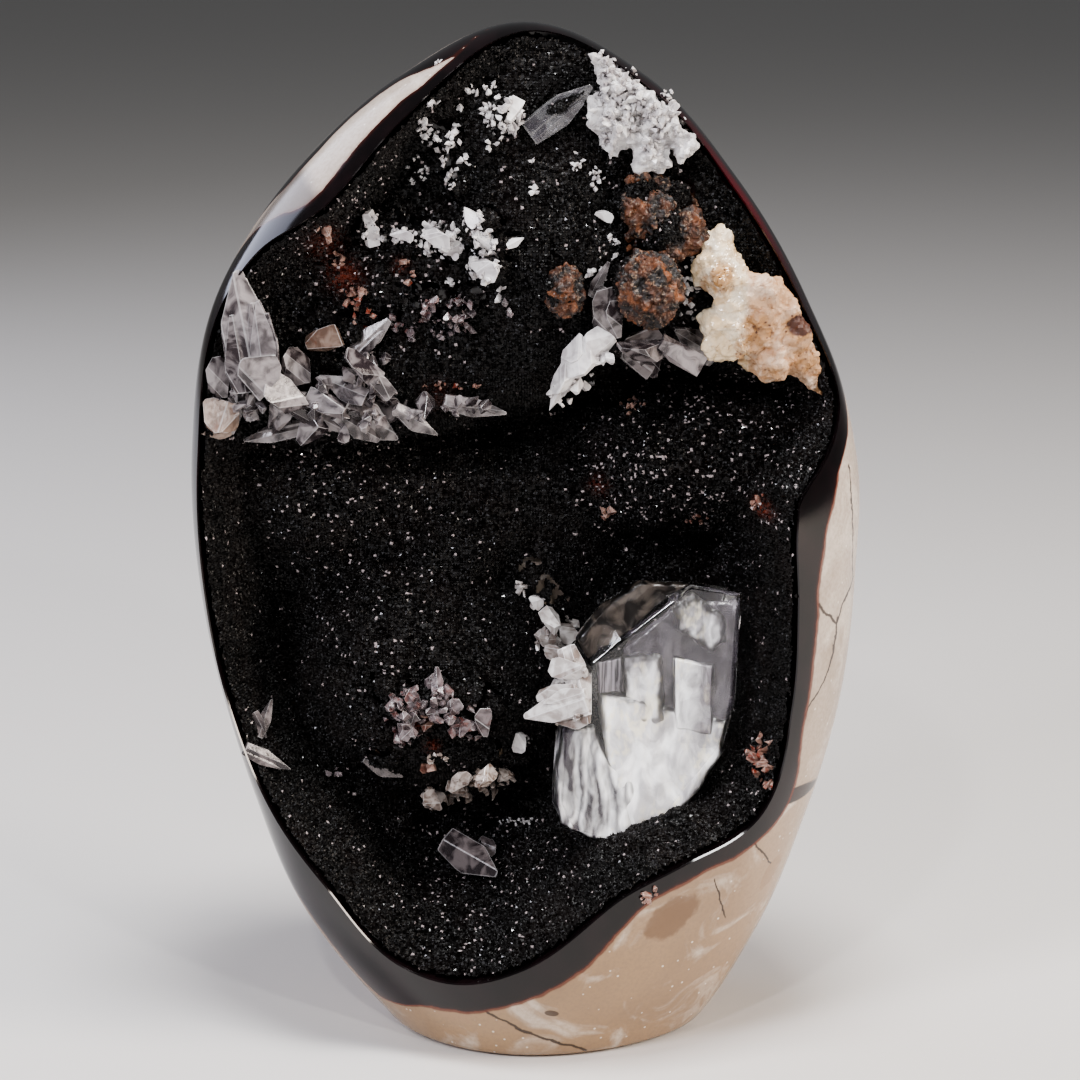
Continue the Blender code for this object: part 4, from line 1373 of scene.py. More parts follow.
TALL_BLADES = tuple(Grown(*row) for row in (
    ((254, 392), (238, 270), 12.0, BLADE, 0.45, 3.0, 8, 2),
    ((268, 388), (258, 300), 7.0, BLADE, 0.5, 1.5, -20, 1),
    ((256, 396), (262, 352), 9.5, CHUNK, 0.6, 3.2), ((222, 396), (216, 356), 5.6, CHUNK, 0.6, 1.8),
    ((300, 386), (291, 348), 7.4, CHUNK, 0.6, 2.4, 30),
    ((238, 392), (233, 438), 5.2, POINT, 0.7, 2.2, 10, 1), ((252, 392), (250, 424), 3.8, POINT, 0.8, 2.6),
    ((304, 408), (262, 381), 7.5, CHUNK, 0.6, 3.4, 15),
    ((284, 402), (271, 438), 6.4, POINT, 0.7, 3.0, 40, 1),
    ((296, 402), (340, 430), 6.0, BLADE, 0.6, 2.6, 20, 1), ((308, 396), (345, 412), 4.6, RHOMB, 0.7, 2.8),
    ((304, 428), (244, 440), 4.2, BLADE, 0.6, 1.5, 0, 1),
    ((320, 420), (300, 442), 5.0, RHOMB, 0.7, 1.6, 25),
    ((352, 352), (390, 320), 5.2, BLADE, 0.7, 1.6, 0, 1),
    ((378, 380), (344, 354), 5.4, CHUNK, 0.7, 2.2, 35), ((390, 394), (364, 372), 4.4, RHOMB, 0.7, 2.4),
    ((366, 400), (320, 376), 5.6, BLADE, 0.7, 2.6, 15),
    ((342, 404), (396, 438), 9.0, BLADE, 0.5, 1.5, 6, 1),
    ((396, 402), (352, 434), 6.5, RHOMB, 0.6, 1.0, 20), ((394, 408), (436, 434), 4.6, BLADE, 0.6, 0.6),
    ((426, 396), (425, 421), 5.4, POINT, 0.6, 1.4), ((444, 402), (504, 413), 4.4, BLADE, 0.6, 1.2, 10, 1),
))
TALL_CLUSTERS = tuple(Cluster(*row) for row in (
    (300, 372, 392, 436, 3.4, 1.0), (262, 378, 300, 410, 2.8, 0.9), (336, 336, 392, 396, 3.0, 0.8),
    (206, 386, 262, 424, 3.0, 1.0), (334, 402, 440, 424, 2.6, 0.8), (438, 398, 498, 414, 2.2, 0.7),
))
TAN_CRYSTALS = (
    Grown((238, 414), (202, 418), 8.4, CHUNK, 0.6, 1.6, 10),
    Grown((230, 430), (202, 434), 3.6, BLADE, 0.6, 1.2),
    Grown((340, 334), (307, 346), 5.4, RHOMB, 0.6, 1.6),
)
BRIDGE_CRYSTALS = tuple(Grown(*row) for row in (
    ((590, 296), (609, 262), 2.6, BLADE, 0.4, 2.0), ((608, 338), (602, 288), 7.0, CHUNK, 0.6, 2.0, 20, 1),
    ((640, 372), (642, 326), 10.0, CHUNK, 0.7, 2.0, 10, 1),
    ((664, 352), (618, 350), 6.5, CHUNK, 0.7, 1.4, 60),
    ((714, 356), (674, 328), 7.2, BLADE, 0.6, 1.6, 0, 1), ((700, 366), (660, 344), 5.0, RHOMB, 0.6, 1.0),
))
BRIDGE_WHITE = (
    Grown((606, 332), (586, 356), 6.4, RHOMB, 0.7, 2.0),
    Grown((592, 344), (566, 378), 7.6, CHUNK, 0.7, 2.4, 20, 1),
    Grown((574, 360), (555, 396), 5.6, CHUNK, 0.7, 2.2, 50),
    Grown((562, 382), (549, 412), 4.2, POINT, 0.8, 1.6),
)
BRIDGE_CLUSTERS = tuple(Cluster(*row) for row in (
    (582, 334, 608, 362, 2.2, 1.3), (560, 348, 598, 390, 2.4, 1.2), (548, 376, 574, 408, 2.0, 1.2),
))
SNOW_CLUSTERS = tuple(Cluster(*row) for row in (
    (592, 50, 618, 84, 1.7, 1.6), (592, 66, 634, 138, 1.9, 1.6), (618, 84, 660, 136, 1.9, 1.6),
    (646, 96, 684, 134, 1.7, 1.5), (640, 134, 660, 163, 1.7, 1.6), (660, 88, 676, 112, 1.4, 1.2),
    (676, 118, 688, 136, 1.4, 1.4), (600, 128, 616, 142, 1.4, 1.2), (614, 66, 640, 92, 1.4, 1.3),
))
WHITE_CRYSTALS = tuple(Grown(*row) for row in (
    ((374, 244), (366, 213), 3.8, RHOMB, 0.8, 2.2), ((392, 233), (414, 238), 2.4, CHUNK, 0.8, 1.4),
    ((424, 232), (452, 244), 4.0, CHUNK, 0.8, 1.6, 20), ((440, 246), (462, 250), 3.8, CHUNK, 0.8, 1.8),
    ((466, 208), (476, 228), 3.0, CHUNK, 0.8, 1.4), ((478, 230), (494, 254), 3.4, CHUNK, 0.8, 1.6, 40),
    ((476, 264), (500, 276), 4.4, CHUNK, 0.8, 1.8, 10), ((507, 246), (524, 238), 2.2, BLADE, 0.8, 1.2),
    ((490, 108), (518, 130), 3.6, CHUNK, 0.8, 1.4, 30), ((518, 100), (508, 122), 3.2, RHOMB, 0.8, 1.4),
    ((596, 212), (613, 220), 2.4, CHUNK, 0.8, 1.2), ((520, 732), (518, 752), 3.4, CHUNK, 0.8, 1.6),
))
WHITE_CLUSTERS = tuple(Cluster(*row) for row in (
    (378, 228, 424, 244, 1.3, 1.7), (416, 220, 464, 260, 1.6, 1.7), (462, 206, 486, 234, 1.4, 1.5),
    (470, 228, 500, 258, 1.5, 1.5), (466, 250, 508, 284, 1.6, 1.6), (447, 276, 461, 286, 1.4),
    (497, 286, 507, 300, 1.4), (480, 97, 526, 138, 1.5, 1.4), (420, 97, 437, 109, 1.4),
    (463, 86, 479, 99, 1.3), (485, 80, 496, 95, 1.3), (492, 92, 502, 99, 1.2), (456, 103, 461, 111, 1.0),
    (416, 115, 427, 140, 1.3, 1.5), (421, 130, 444, 146, 1.3, 1.5), (452, 116, 460, 132, 1.2),
    (445, 130, 459, 146, 1.3, 1.5), (438, 143, 452, 166, 1.3, 1.5), (459, 152, 469, 173, 1.3),
    (444, 168, 459, 191, 1.3, 1.5), (487, 141, 496, 153, 1.2), (530, 158, 536, 164, 1.1),
    (528, 186, 537, 194, 1.2), (567, 150, 584, 170, 1.2, 0.8), (588, 163, 604, 190, 1.2, 0.8),
    (584, 262, 612, 300, 1.3, 0.7), (606, 228, 618, 262, 1.2, 0.7), (430, 60, 452, 84, 1.0, 0.5),
    (405, 150, 430, 190, 1.0, 0.35), (676, 246, 700, 330, 1.2, 0.4), (360, 210, 380, 246, 1.0, 0.5),
    (512, 730, 530, 752, 1.2, 0.6), (494, 816, 540, 828, 0.8, 0.5),
))
BEADS = tuple(Grown(*row) for row in (
    ((425, 802), (446, 794), 3.6, CHUNK, 0.9, 2.0), ((452, 788), (470, 772), 3.8, CHUNK, 0.9, 2.2),
    ((478, 784), (494, 770), 3.8, CHUNK, 0.9, 2.0), ((498, 780), (512, 770), 2.8, CHUNK, 0.9, 2.0),
    ((438, 808), (424, 790), 3.6, CHUNK, 0.9, 2.0), ((464, 794), (446, 780), 3.4, CHUNK, 0.9, 2.0),
))
BEAD_CLUSTERS = tuple(Cluster(*row) for row in (
    (419, 786, 452, 811, 2.2, 2.6), (446, 768, 480, 798, 2.2, 2.6), (472, 764, 514, 790, 2.2, 2.6),
    (424, 752, 452, 766, 1.4, 0.9),
))
# blades in the shade of the bowl, which take the blade colours darkened as painted shade
SHADED_BOWL_CRYSTALS = tuple(Grown(*row) for row in (
    ((446, 840), (498, 876), 8.8, BLADE, 0.45, 2.6, 4), ((484, 838), (494, 856), 3.4, CHUNK, 0.7, 2.4),
    ((363, 758), (403, 777), 4.4, BLADE, 0.6, 1.6), ((258, 738), (272, 700), 3.0, BLADE, 0.6, 0.8),
    ((254, 712), (266, 738), 3.0, BLADE, 0.6, 1.0), ((245, 747), (290, 769), 3.8, BLADE, 0.6, 1.0, 0, 1),
))
GREY_CRYSTALS = tuple(Grown(*row) for row in (
    ((484, 734), (483, 706), 4.0, CHUNK, 0.7, 1.6), ((438, 700), (437, 667), 3.0, BLADE, 0.7, 2.0),
    ((420, 706), (406, 692), 3.4, CHUNK, 0.7, 2.0), ((446, 712), (462, 700), 3.4, CHUNK, 0.7, 2.0),
    ((404, 738), (410, 720), 3.2, RHOMB, 0.7, 2.0), ((458, 736), (470, 722), 2.6, CHUNK, 0.7, 1.8),
))
GREY_CLUSTERS = tuple(Cluster(*row) for row in (
    (384, 688, 426, 744, 2.4, 2.2), (420, 680, 456, 728, 2.6, 2.2), (448, 700, 474, 738, 2.4, 2.0),
    (474, 706, 494, 736, 2.4, 1.8), (419, 298, 440, 326, 1.8, 1.3), (443, 295, 475, 327, 1.8, 1.3),
    (402, 319, 418, 337, 1.8, 1.3), (424, 318, 480, 340, 1.6, 0.6), (324, 764, 340, 786, 1.4, 0.5),
    (390, 310, 404, 330, 1.5, 0.8), (504, 300, 516, 318, 1.6, 0.9),
))
PINK_CLUSTERS = tuple(Cluster(*row) for row in (
    (399, 255, 410, 267, 2.0), (405, 271, 414, 284, 1.8), (330, 247, 346, 267, 1.6, 1.2),
    (334, 282, 364, 304, 1.6, 0.9), (421, 715, 432, 728, 2.2), (425, 752, 438, 766, 2.4),
    (750, 730, 778, 794, 1.9, 1.0), (752, 492, 767, 516, 2.0), (596, 506, 617, 518, 1.9),
    (314, 223, 331, 236, 1.8), (640, 888, 661, 906, 1.6, 0.9), (345, 284, 376, 330, 1.3, 0.4),
    (414, 382, 484, 389, 1.0, 0.7), (620, 398, 648, 416, 1.2, 0.8), (680, 508, 712, 524, 1.2, 0.4),
))
CLEAR_LEAF = Grown((529, 134), (592, 86), 7.0, BLADE, 0.5, 2.4, 10, 1)
CLEAR_PLATES = tuple(Grown(*row) for row in (
    ((572, 647), (588, 716), 6.4, BLADE, 0.6, 2.4, 10, 1), ((584, 672), (552, 666), 5.0, CHUNK, 0.6, 2.2),
    ((588, 700), (526, 716), 7.0, BLADE, 0.6, 2.2, 10, 1), ((578, 690), (538, 698), 4.6, RHOMB, 0.6, 2.4),
    ((590, 718), (556, 722), 4.6, BLADE, 0.6, 2.0, 20), ((566, 652), (556, 676), 4.0, CHUNK, 0.6, 2.0),
    ((545, 612), (558, 628), 4.0, RHOMB, 0.8, 2.6), ((560, 624), (574, 642), 4.4, CHUNK, 0.8, 2.8),
    ((538, 632), (552, 644), 3.8, CHUNK, 0.8, 2.6), ((546, 642), (556, 658), 3.8, CHUNK, 0.8, 2.6),
    ((531, 597), (543, 608), 2.8, CHUNK, 0.8, 2.2),
))
PLATE_CLUSTERS = tuple(Cluster(*row) for row in (
    (530, 698, 582, 724, 1.8, 1.2), (550, 650, 590, 704, 2.0, 1.0), (510, 580, 528, 594, 1.8, 1.5),
    (530, 596, 544, 608, 1.8, 1.0), (542, 612, 576, 644, 2.0, 1.2), (534, 630, 560, 658, 2.0, 1.2),
))


@dataclass
class Crystals:
    """Sets crystals in the hollow, along the lines of sight of the photograph."""

    studio: Studio
    ground: BVHTree
    habits: dict[Habit, list[bpy.types.Mesh]]
    draw: random.Random
    # from the camera to the hollow, for a pixel that shows no lining
    reach: float = 0.69
    # how far a crystal's root sinks into the ground, in mm
    root_sunk: float = 1.2
    # a twin's width, and how far it stands beside and before its crystal, as shares of the crystal's width,
    # its length as a share of the crystal's, and its turn in degrees
    twin_width: float = 0.6
    twin_beside: tuple = (0.18, 0.32)
    twin_before: float = 0.10
    twin_length: tuple = (0.62, 0.86)
    twin_turn: float = 9.0
    # how far from the middle of its box a cluster's crystals stand, as a share of it
    oval: float = 0.46
    # a clustered crystal's size and how far it sinks, as shares of the grain, how much it leans, its length
    # as a share of its size, and its width and thickness
    sizes: tuple = (0.6, 1.35)
    sunk: float = 0.15
    lean: float = 1.3
    stretch: float = 1.2
    widths: tuple = (0.55, 1.0)
    flats: tuple = (0.6, 1.0)

    def sight(self, px: float, py: float, proud_mm: float, *solids: BVHTree) -> tuple[Vector, Vector, Vector]:
        """The place on the lining, or on a solid before it, that a pixel shows.

        Args:
            px: the pixel from the left.
            py: the pixel from the top.
            proud_mm: how far in front of it the place is.
            solids: the search trees of the solids.

        Returns:
            The place, the surface's direction there and the direction to the camera.
        """
        start, ahead = self.studio.sightline(px, py)
        hits = [tree.ray_cast(start, ahead) for tree in (*solids, self.ground)]
        hits = [hit for hit in hits if hit[0] is not None]
        if hits:
            place, normal = min(hits, key=lambda hit: hit[3])[:2]
        else:
            place, normal = self.ground.find_nearest(start + ahead * self.reach)[:2]
            place = start + ahead * (place - start).dot(ahead)
        return place - ahead * proud_mm * MM, normal if normal.dot(ahead) < 0 else -normal, -ahead

    def along(
        self, root: Vector, tip: Vector, seen: Vector, width: float, flat: float, roll: float
    ) -> Matrix:
        """The placing of a crystal that runs from one point to another, with its breadth across the view.

        Args:
            root: where it is rooted.
            tip: where it points.
            seen: the direction that its flat side faces.
            width: its width.
            flat: its thickness as a share of its width.
            roll: its turn about its own axis in degrees.

        Returns:
            The matrix for a unit crystal.
        """
        length = (tip - root).length
        axis = (tip - root) / length
        facing = (seen - axis * seen.dot(axis)).normalized()
        turn = Matrix((facing.cross(axis), facing, axis)).transposed().to_4x4()
        size = Matrix.Diagonal((width, width * flat, length, 1.0))
        rolled = turn @ Matrix.Rotation(math.radians(roll), 4, "Z")
        return Matrix.Translation((root + tip) / 2) @ rolled @ size

    def grown(self, crystal: Grown, *solids: BVHTree) -> list[Placed]:
        """Place a crystal that is set by two pixels, and the twins grown beside it.

        Args:
            crystal: the crystal.
            solids: the search trees of the solids that it may stand on.

        Returns:
            The habit and placing of each.
        """
        root, _, seen = self.sight(*crystal.root_px, crystal.proud_mm - self.root_sunk, *solids)
        tip, _, _ = self.sight(*crystal.tip_px, crystal.proud_mm, *solids)
        width = crystal.width_mm * MM
        deeper = (tip - root).dot(seen)
        if deeper > width:
            root += seen * (deeper - width)
        elif deeper < -width:
            tip -= seen * (deeper + width)
        rows = [(crystal.habit, self.along(root, tip, seen, width, crystal.flat, crystal.roll))]
        side = (tip - root).cross(seen).normalized()
        for twin in range(crystal.twins):
            off = side * width * self.draw.uniform(*self.twin_beside) * (-1) ** twin
            off += seen * width * self.twin_before
            short = root.lerp(tip, self.draw.uniform(*self.twin_length))
            turn = crystal.roll + self.draw.uniform(-self.twin_turn, self.twin_turn)
            thin = width * self.twin_width
            rows.append((crystal.habit, self.along(root + off, short + off, seen, thin, crystal.flat, turn)))
        return rows

    def cluster(self, group: Cluster, habits: tuple[Habit, ...], *solids: BVHTree) -> list[Placed]:
        """Place a group's crystals by chance.

        Args:
            group: the group.
            habits: the forms to draw from.
            solids: the search trees of the solids that they may stand on.

        Returns:
            The habit and placing of each.
        """
        wide, high = group.right - group.left, group.bottom - group.top
        count = max(2, round(wide * high * group.fill / (group.grain_mm / PX_MM) ** 2))
        rows = []
        for _ in range(count):
            angle = self.draw.uniform(0, 2 * math.pi)
            far = math.sqrt(self.draw.random()) * self.oval
            px = (group.left + group.right) / 2 + wide * far * math.cos(angle)
            py = (group.top + group.bottom) / 2 + high * far * math.sin(angle)
            size = group.grain_mm * self.draw.uniform(*self.sizes) * MM
            place, normal, seen = self.sight(px, py, -self.sunk * group.grain_mm, *solids)
            lean = Vector([self.draw.gauss(0, 1) for _ in range(3)]).normalized()
            tip = place + (normal + seen + lean * self.lean).normalized() * size * self.stretch
            width, flat = size * self.draw.uniform(*self.widths), self.draw.uniform(*self.flats)
            placing = self.along(place, tip, lean.cross(tip - place), width, flat, self.draw.uniform(0, 360))
            rows.append((self.draw.choice(habits), placing))
        return rows

    def joined(self, name: str, rows: list[Placed]) -> bpy.types.Object:
        """Join copies of the modelled crystals in one piece, each with a shade of its own.

        Args:
            name: the piece's name.
            rows: each crystal's habit and placing.

        Returns:
            The piece.
        """
        points, faces, tones, edges, base = [], [], [], [], 0
        for habit, placing in rows:
            mesh = self.draw.choice(self.habits[habit])
            points.append(corners_of(mesh) @ np.array(placing.to_3x3()).T + np.array(placing.translation))
            faces += [[base + i for i in p.vertices] for p in mesh.polygons]
            shade = self.draw.random()
            tones += [0.45 * shade + 0.55 * self.draw.random() for _ in mesh.polygons]
            edges += [float(p.material_index == EDGE) for p in mesh.polygons]
            base += len(mesh.vertices)
        mesh = bpy.data.meshes.new(name)
        mesh.from_pydata(np.concatenate(points).tolist(), [], faces)
        set_attribute(mesh, "tone", np.array(tones), "FACE")
        # edge marks the bevelled faces, which the finishes lighten as a painted highlight
        set_attribute(mesh, "edge", np.array(edges), "FACE")
        piece = bpy.data.objects.new(name, mesh)
        bpy.context.scene.collection.objects.link(piece)
        return piece

    def group(
        self, name: str, singles: tuple[Grown, ...], clusters: tuple[Cluster, ...],
        habits: tuple[Habit, ...] = (CHUNK, RHOMB, POINT), *solids: BVHTree,
    ) -> bpy.types.Object:
        """Set single crystals and clusters, and join them.

        Args:
            name: the piece's name.
            singles: the crystals that are set one by one.
            clusters: the clusters.
            habits: the forms that the clusters draw from.
            solids: the search trees of the solids that they may stand on.

        Returns:
            The piece.
        """
        rows = [row for crystal in singles for row in self.grown(crystal, *solids)]
        rows += [row for cluster in clusters for row in self.cluster(cluster, habits, *solids)]
        return self.joined(name, rows)


def roughen(
    piece: bpy.types.Object, waves: tuple, cells: tuple = (), scatter_mm: float = 0.0, stretch: float = 1.0
) -> None:
    """Raise and sink a piece's surface.

    Args:
        piece: the piece.
        waves: pairs of a soft wave's size and height in mm.
        cells: pairs of a blocky cell's size and height in mm.
        scatter_mm: how far each point strays by chance.
        stretch: how many times as high as wide the waves and cells are.
    """
    squeeze = Vector((1.0, 1.0, 1.0 / stretch))
    mesh = piece.data
    at = corners_of(mesh)
    normals = np.array([v.normal for v in mesh.vertices])
    rise = np.zeros(len(at))
    for size, height in waves:
        rise += [noise.noise(Vector(p) * squeeze / (size * MM)) * height for p in at]
    for size, height in cells:
        rise += [(0.5 - noise.voronoi(Vector(p) * squeeze / (size * MM))[0][0]) * height for p in at]
    at += normals * rise[:, None] * MM
    at += np.random.default_rng(11).uniform(-scatter_mm, scatter_mm, at.shape) * MM
    move_corners(mesh, at)


@dataclass
class CreamMass:
    """The cleaved lump of cream calcite at the right of the rim."""

    voxel: float = 0.55 * MM
    waves: tuple = ((9.0, 1.2), (2.6, 0.7), (1.0, 0.4))
    cells: tuple = ((6.5, 2.2), (2.8, 1.2))
    scatter_mm: float = 0.10
    # the pixel from the left at which the matt crust begins, and how many it takes
    matt_from_px: float = 748.0
    matt_over_px: float = 6.0
    # brown stains: the middle from the left and the top, half the width and the height in pixels, strength
    stains: tuple = (
        (801, 326, 17, 13, 1.25), (757, 331, 19, 19, 0.66), (722, 278, 16, 18, 0.56),
        (808, 360, 18, 22, 0.42), (742, 352, 10, 16, 0.45), (704, 286, 8, 12, 0.45),
        (826, 386, 10, 18, 0.55), (768, 372, 14, 10, 0.40),
    )

    def build(self, crystals: Crystals, finish: bpy.types.Material) -> None:
        """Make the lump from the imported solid.

        Args:
            crystals: what knows the lines of sight.
            finish: its material.
        """
        piece = copy_of_node("cream_calcite", "cream_mass")
        apply_modifier(piece, "REMESH", mode="VOXEL", voxel_size=self.voxel, adaptivity=0.0)
        apply_modifier(piece, "SMOOTH", factor=0.5, iterations=4)
        roughen(piece, self.waves, self.cells, self.scatter_mm)
        at = crystals.studio.pixels(corners_of(piece.data))
        mark = np.zeros(len(at))
        for px, py, wide, high, strength in self.stains:
            away = np.hypot((at[:, 0] - px) / wide, (at[:, 1] - py) / high)
            mark = np.maximum(mark, strength * np.exp(-(away**3)))
        set_attribute(piece.data, "mark", mark)
        matt = (at[:, 0] - self.matt_from_px) / self.matt_over_px + 0.5
        set_attribute(piece.data, "matt", np.clip(matt, 0, 1))
        hand_over(piece, finish, "cream_calcite", "cream_calcite")


@dataclass
class SnowCrust:
    """The white crust at the top right, a mat of tiny crystals on a lacy base."""

    voxel: float = 0.5 * MM
    waves: tuple = ((4.0, 1.6), (1.5, 0.8))
    cells: tuple = ((2.4, 1.2),)
    scatter_mm: float = 0.12
    tone: float = 0.3

    def build(self, crystals: Crystals, base_finish: bpy.types.Material) -> None:
        """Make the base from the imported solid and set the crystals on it.

        Args:
            crystals: what sets the crystals.
            base_finish: the material.
        """
        base = copy_of_node("white_crust", "snow_base")
        apply_modifier(base, "REMESH", mode="VOXEL", voxel_size=self.voxel, adaptivity=0.0)
        roughen(base, self.waves, self.cells, self.scatter_mm)
        set_attribute(base.data, "tone", np.full(len(base.data.polygons), self.tone), "FACE")
        solid = tree_of(base)
        hand_over(base, base_finish, "white_calcite", "white_crust")
        piece = crystals.group("snow_crystals", (), SNOW_CLUSTERS, (CHUNK, RHOMB, POINT), solid)
        hand_over(piece, base_finish, "white_calcite", "white_crust")


@dataclass(frozen=True)
class Lump:
    """A rounded lump, by its middle and half sizes in pixels of the photograph."""

    x: float
    y: float
    half_wide: float
    half_high: float
    sunk_mm: float = 3.0


@dataclass
class BrownLumps:
    """The brown balls that sit between the white arch and the cream lump."""

    lumps: tuple = tuple(Lump(*row) for row in (
        (650, 289, 33, 40, 3.0), (565, 291, 19, 27, 3.0), (652, 216, 26, 30, 3.5),
        (686, 232, 22, 24, 3.0), (632, 240, 16, 18, 3.0), (662, 190, 18, 14, 2.5),
        (686, 208, 17, 16, 2.5), (636, 206, 15, 17, 2.5), (626, 318, 12, 14, 3.0),
        (668, 246, 20, 16, 2.5), (698, 262, 13, 22, 2.5), (690, 300, 11, 20, 2.5), (640, 182, 12, 9, 2.0),
        (702, 232, 10, 16, 2.5),
    ))

    # what a pixel spans where the lumps stand, in mm
    px_mm: float = 0.222
    # the half width in pixels past which a lump has the finer faces
    fine_from_px: float = 30.0
    flatness: float = 0.9
    waves: tuple = ((5.0, 1.1), (1.8, 0.8), (0.7, 0.5))
    cells: tuple = ((2.0, 1.3), (0.9, 0.5))

    def build(self, crystals: Crystals, finish: bpy.types.Material) -> None:
        """Make the lumps and join them.

        Args:
            crystals: what knows the lines of sight.
            finish: their material.
        """
        mark_all(False)
        made = []
        for lump in self.lumps:
            place, _, seen = crystals.sight(lump.x, lump.y, 0.0)
            size = self.px_mm * MM
            place -= seen * lump.sunk_mm * MM
            fine = 6 if lump.half_wide > self.fine_from_px else 5
            bpy.ops.mesh.primitive_ico_sphere_add(subdivisions=fine, radius=1.0, location=place)
            ball = bpy.context.object
            thick = min(lump.half_wide, lump.half_high) * size * self.flatness
            ball.scale = (lump.half_wide * size, thick, lump.half_high * size)
            bpy.ops.object.transform_apply(location=True, rotation=True, scale=True)
            roughen(ball, self.waves, self.cells)
            made.append(ball)
        mark_all(False)
        for ball in made:
            ball.select_set(True)
        bpy.context.view_layer.objects.active = made[0]
        bpy.ops.object.join()
        piece = bpy.context.object
        piece.name = "brown_lumps"
        hand_over(piece, finish, "black_druse", "druse_crust")


def loft(name: str, layers: tuple) -> bpy.types.Object:
    """Build a closed solid through flat outlines of equal counts, from the front to the back.

    Args:
        name: the piece's name.
        layers: pairs of a depth y and the points (x, z) there, all in mm.

    Returns:
        The piece.
    """
    mark_all(False)
    bpy.ops.mesh.primitive_circle_add(vertices=len(layers[0][1]), radius=1.0, fill_type="NGON")
    piece = bpy.context.object
    piece.name = name
    mesh = piece.data
    before = [v.co.copy() for v in mesh.vertices]
    for number, (y, points) in enumerate(layers):
        if number:
            bpy.ops.object.mode_set(mode="EDIT")
            bpy.ops.mesh.extrude_region_move()
            bpy.ops.object.mode_set(mode="OBJECT")
        after = [Vector((x, y, z)) * MM for x, z in points]
        for v in mesh.vertices:
            if v.select:
                nearest = min(range(len(before)), key=lambda i: (v.co - before[i]).length)
                v.co = after[nearest]
        before = after
        if not number:
            bpy.ops.object.mode_set(mode="EDIT")
            bpy.ops.mesh.select_mode(type="FACE")
            bpy.ops.mesh.select_all(action="SELECT")
            bpy.ops.object.mode_set(mode="OBJECT")
    bpy.ops.object.mode_set(mode="EDIT")
    bpy.ops.mesh.select_all(action="SELECT")
    bpy.ops.mesh.normals_make_consistent(inside=False)
    bpy.ops.object.mode_set(mode="OBJECT")
    return piece


@dataclass(frozen=True)
class Veil:
    """A veil inside the clear crystal: its outline in pixels of the photograph, and its depths y in mm.

    Its waves and cells are pairs of a size and a height in mm. Its tone goes from light, at 0, to dark, at 1,
    and slant adds to it from left to right and from below to above. It fades out over fade_mm at its edges.
    """

    name: str
    finish: str
    front: float
    back: float
    outline: tuple
    waves: tuple = ((7.0, 0.8), (2.4, 0.4))
    cells: tuple = ((4.0, 0.9),)
    tone: float = 0.0
    smoothing: int = 3
    fade_mm: float = 1.6
    slant: tuple[float, float] = (0.0, 0.0)


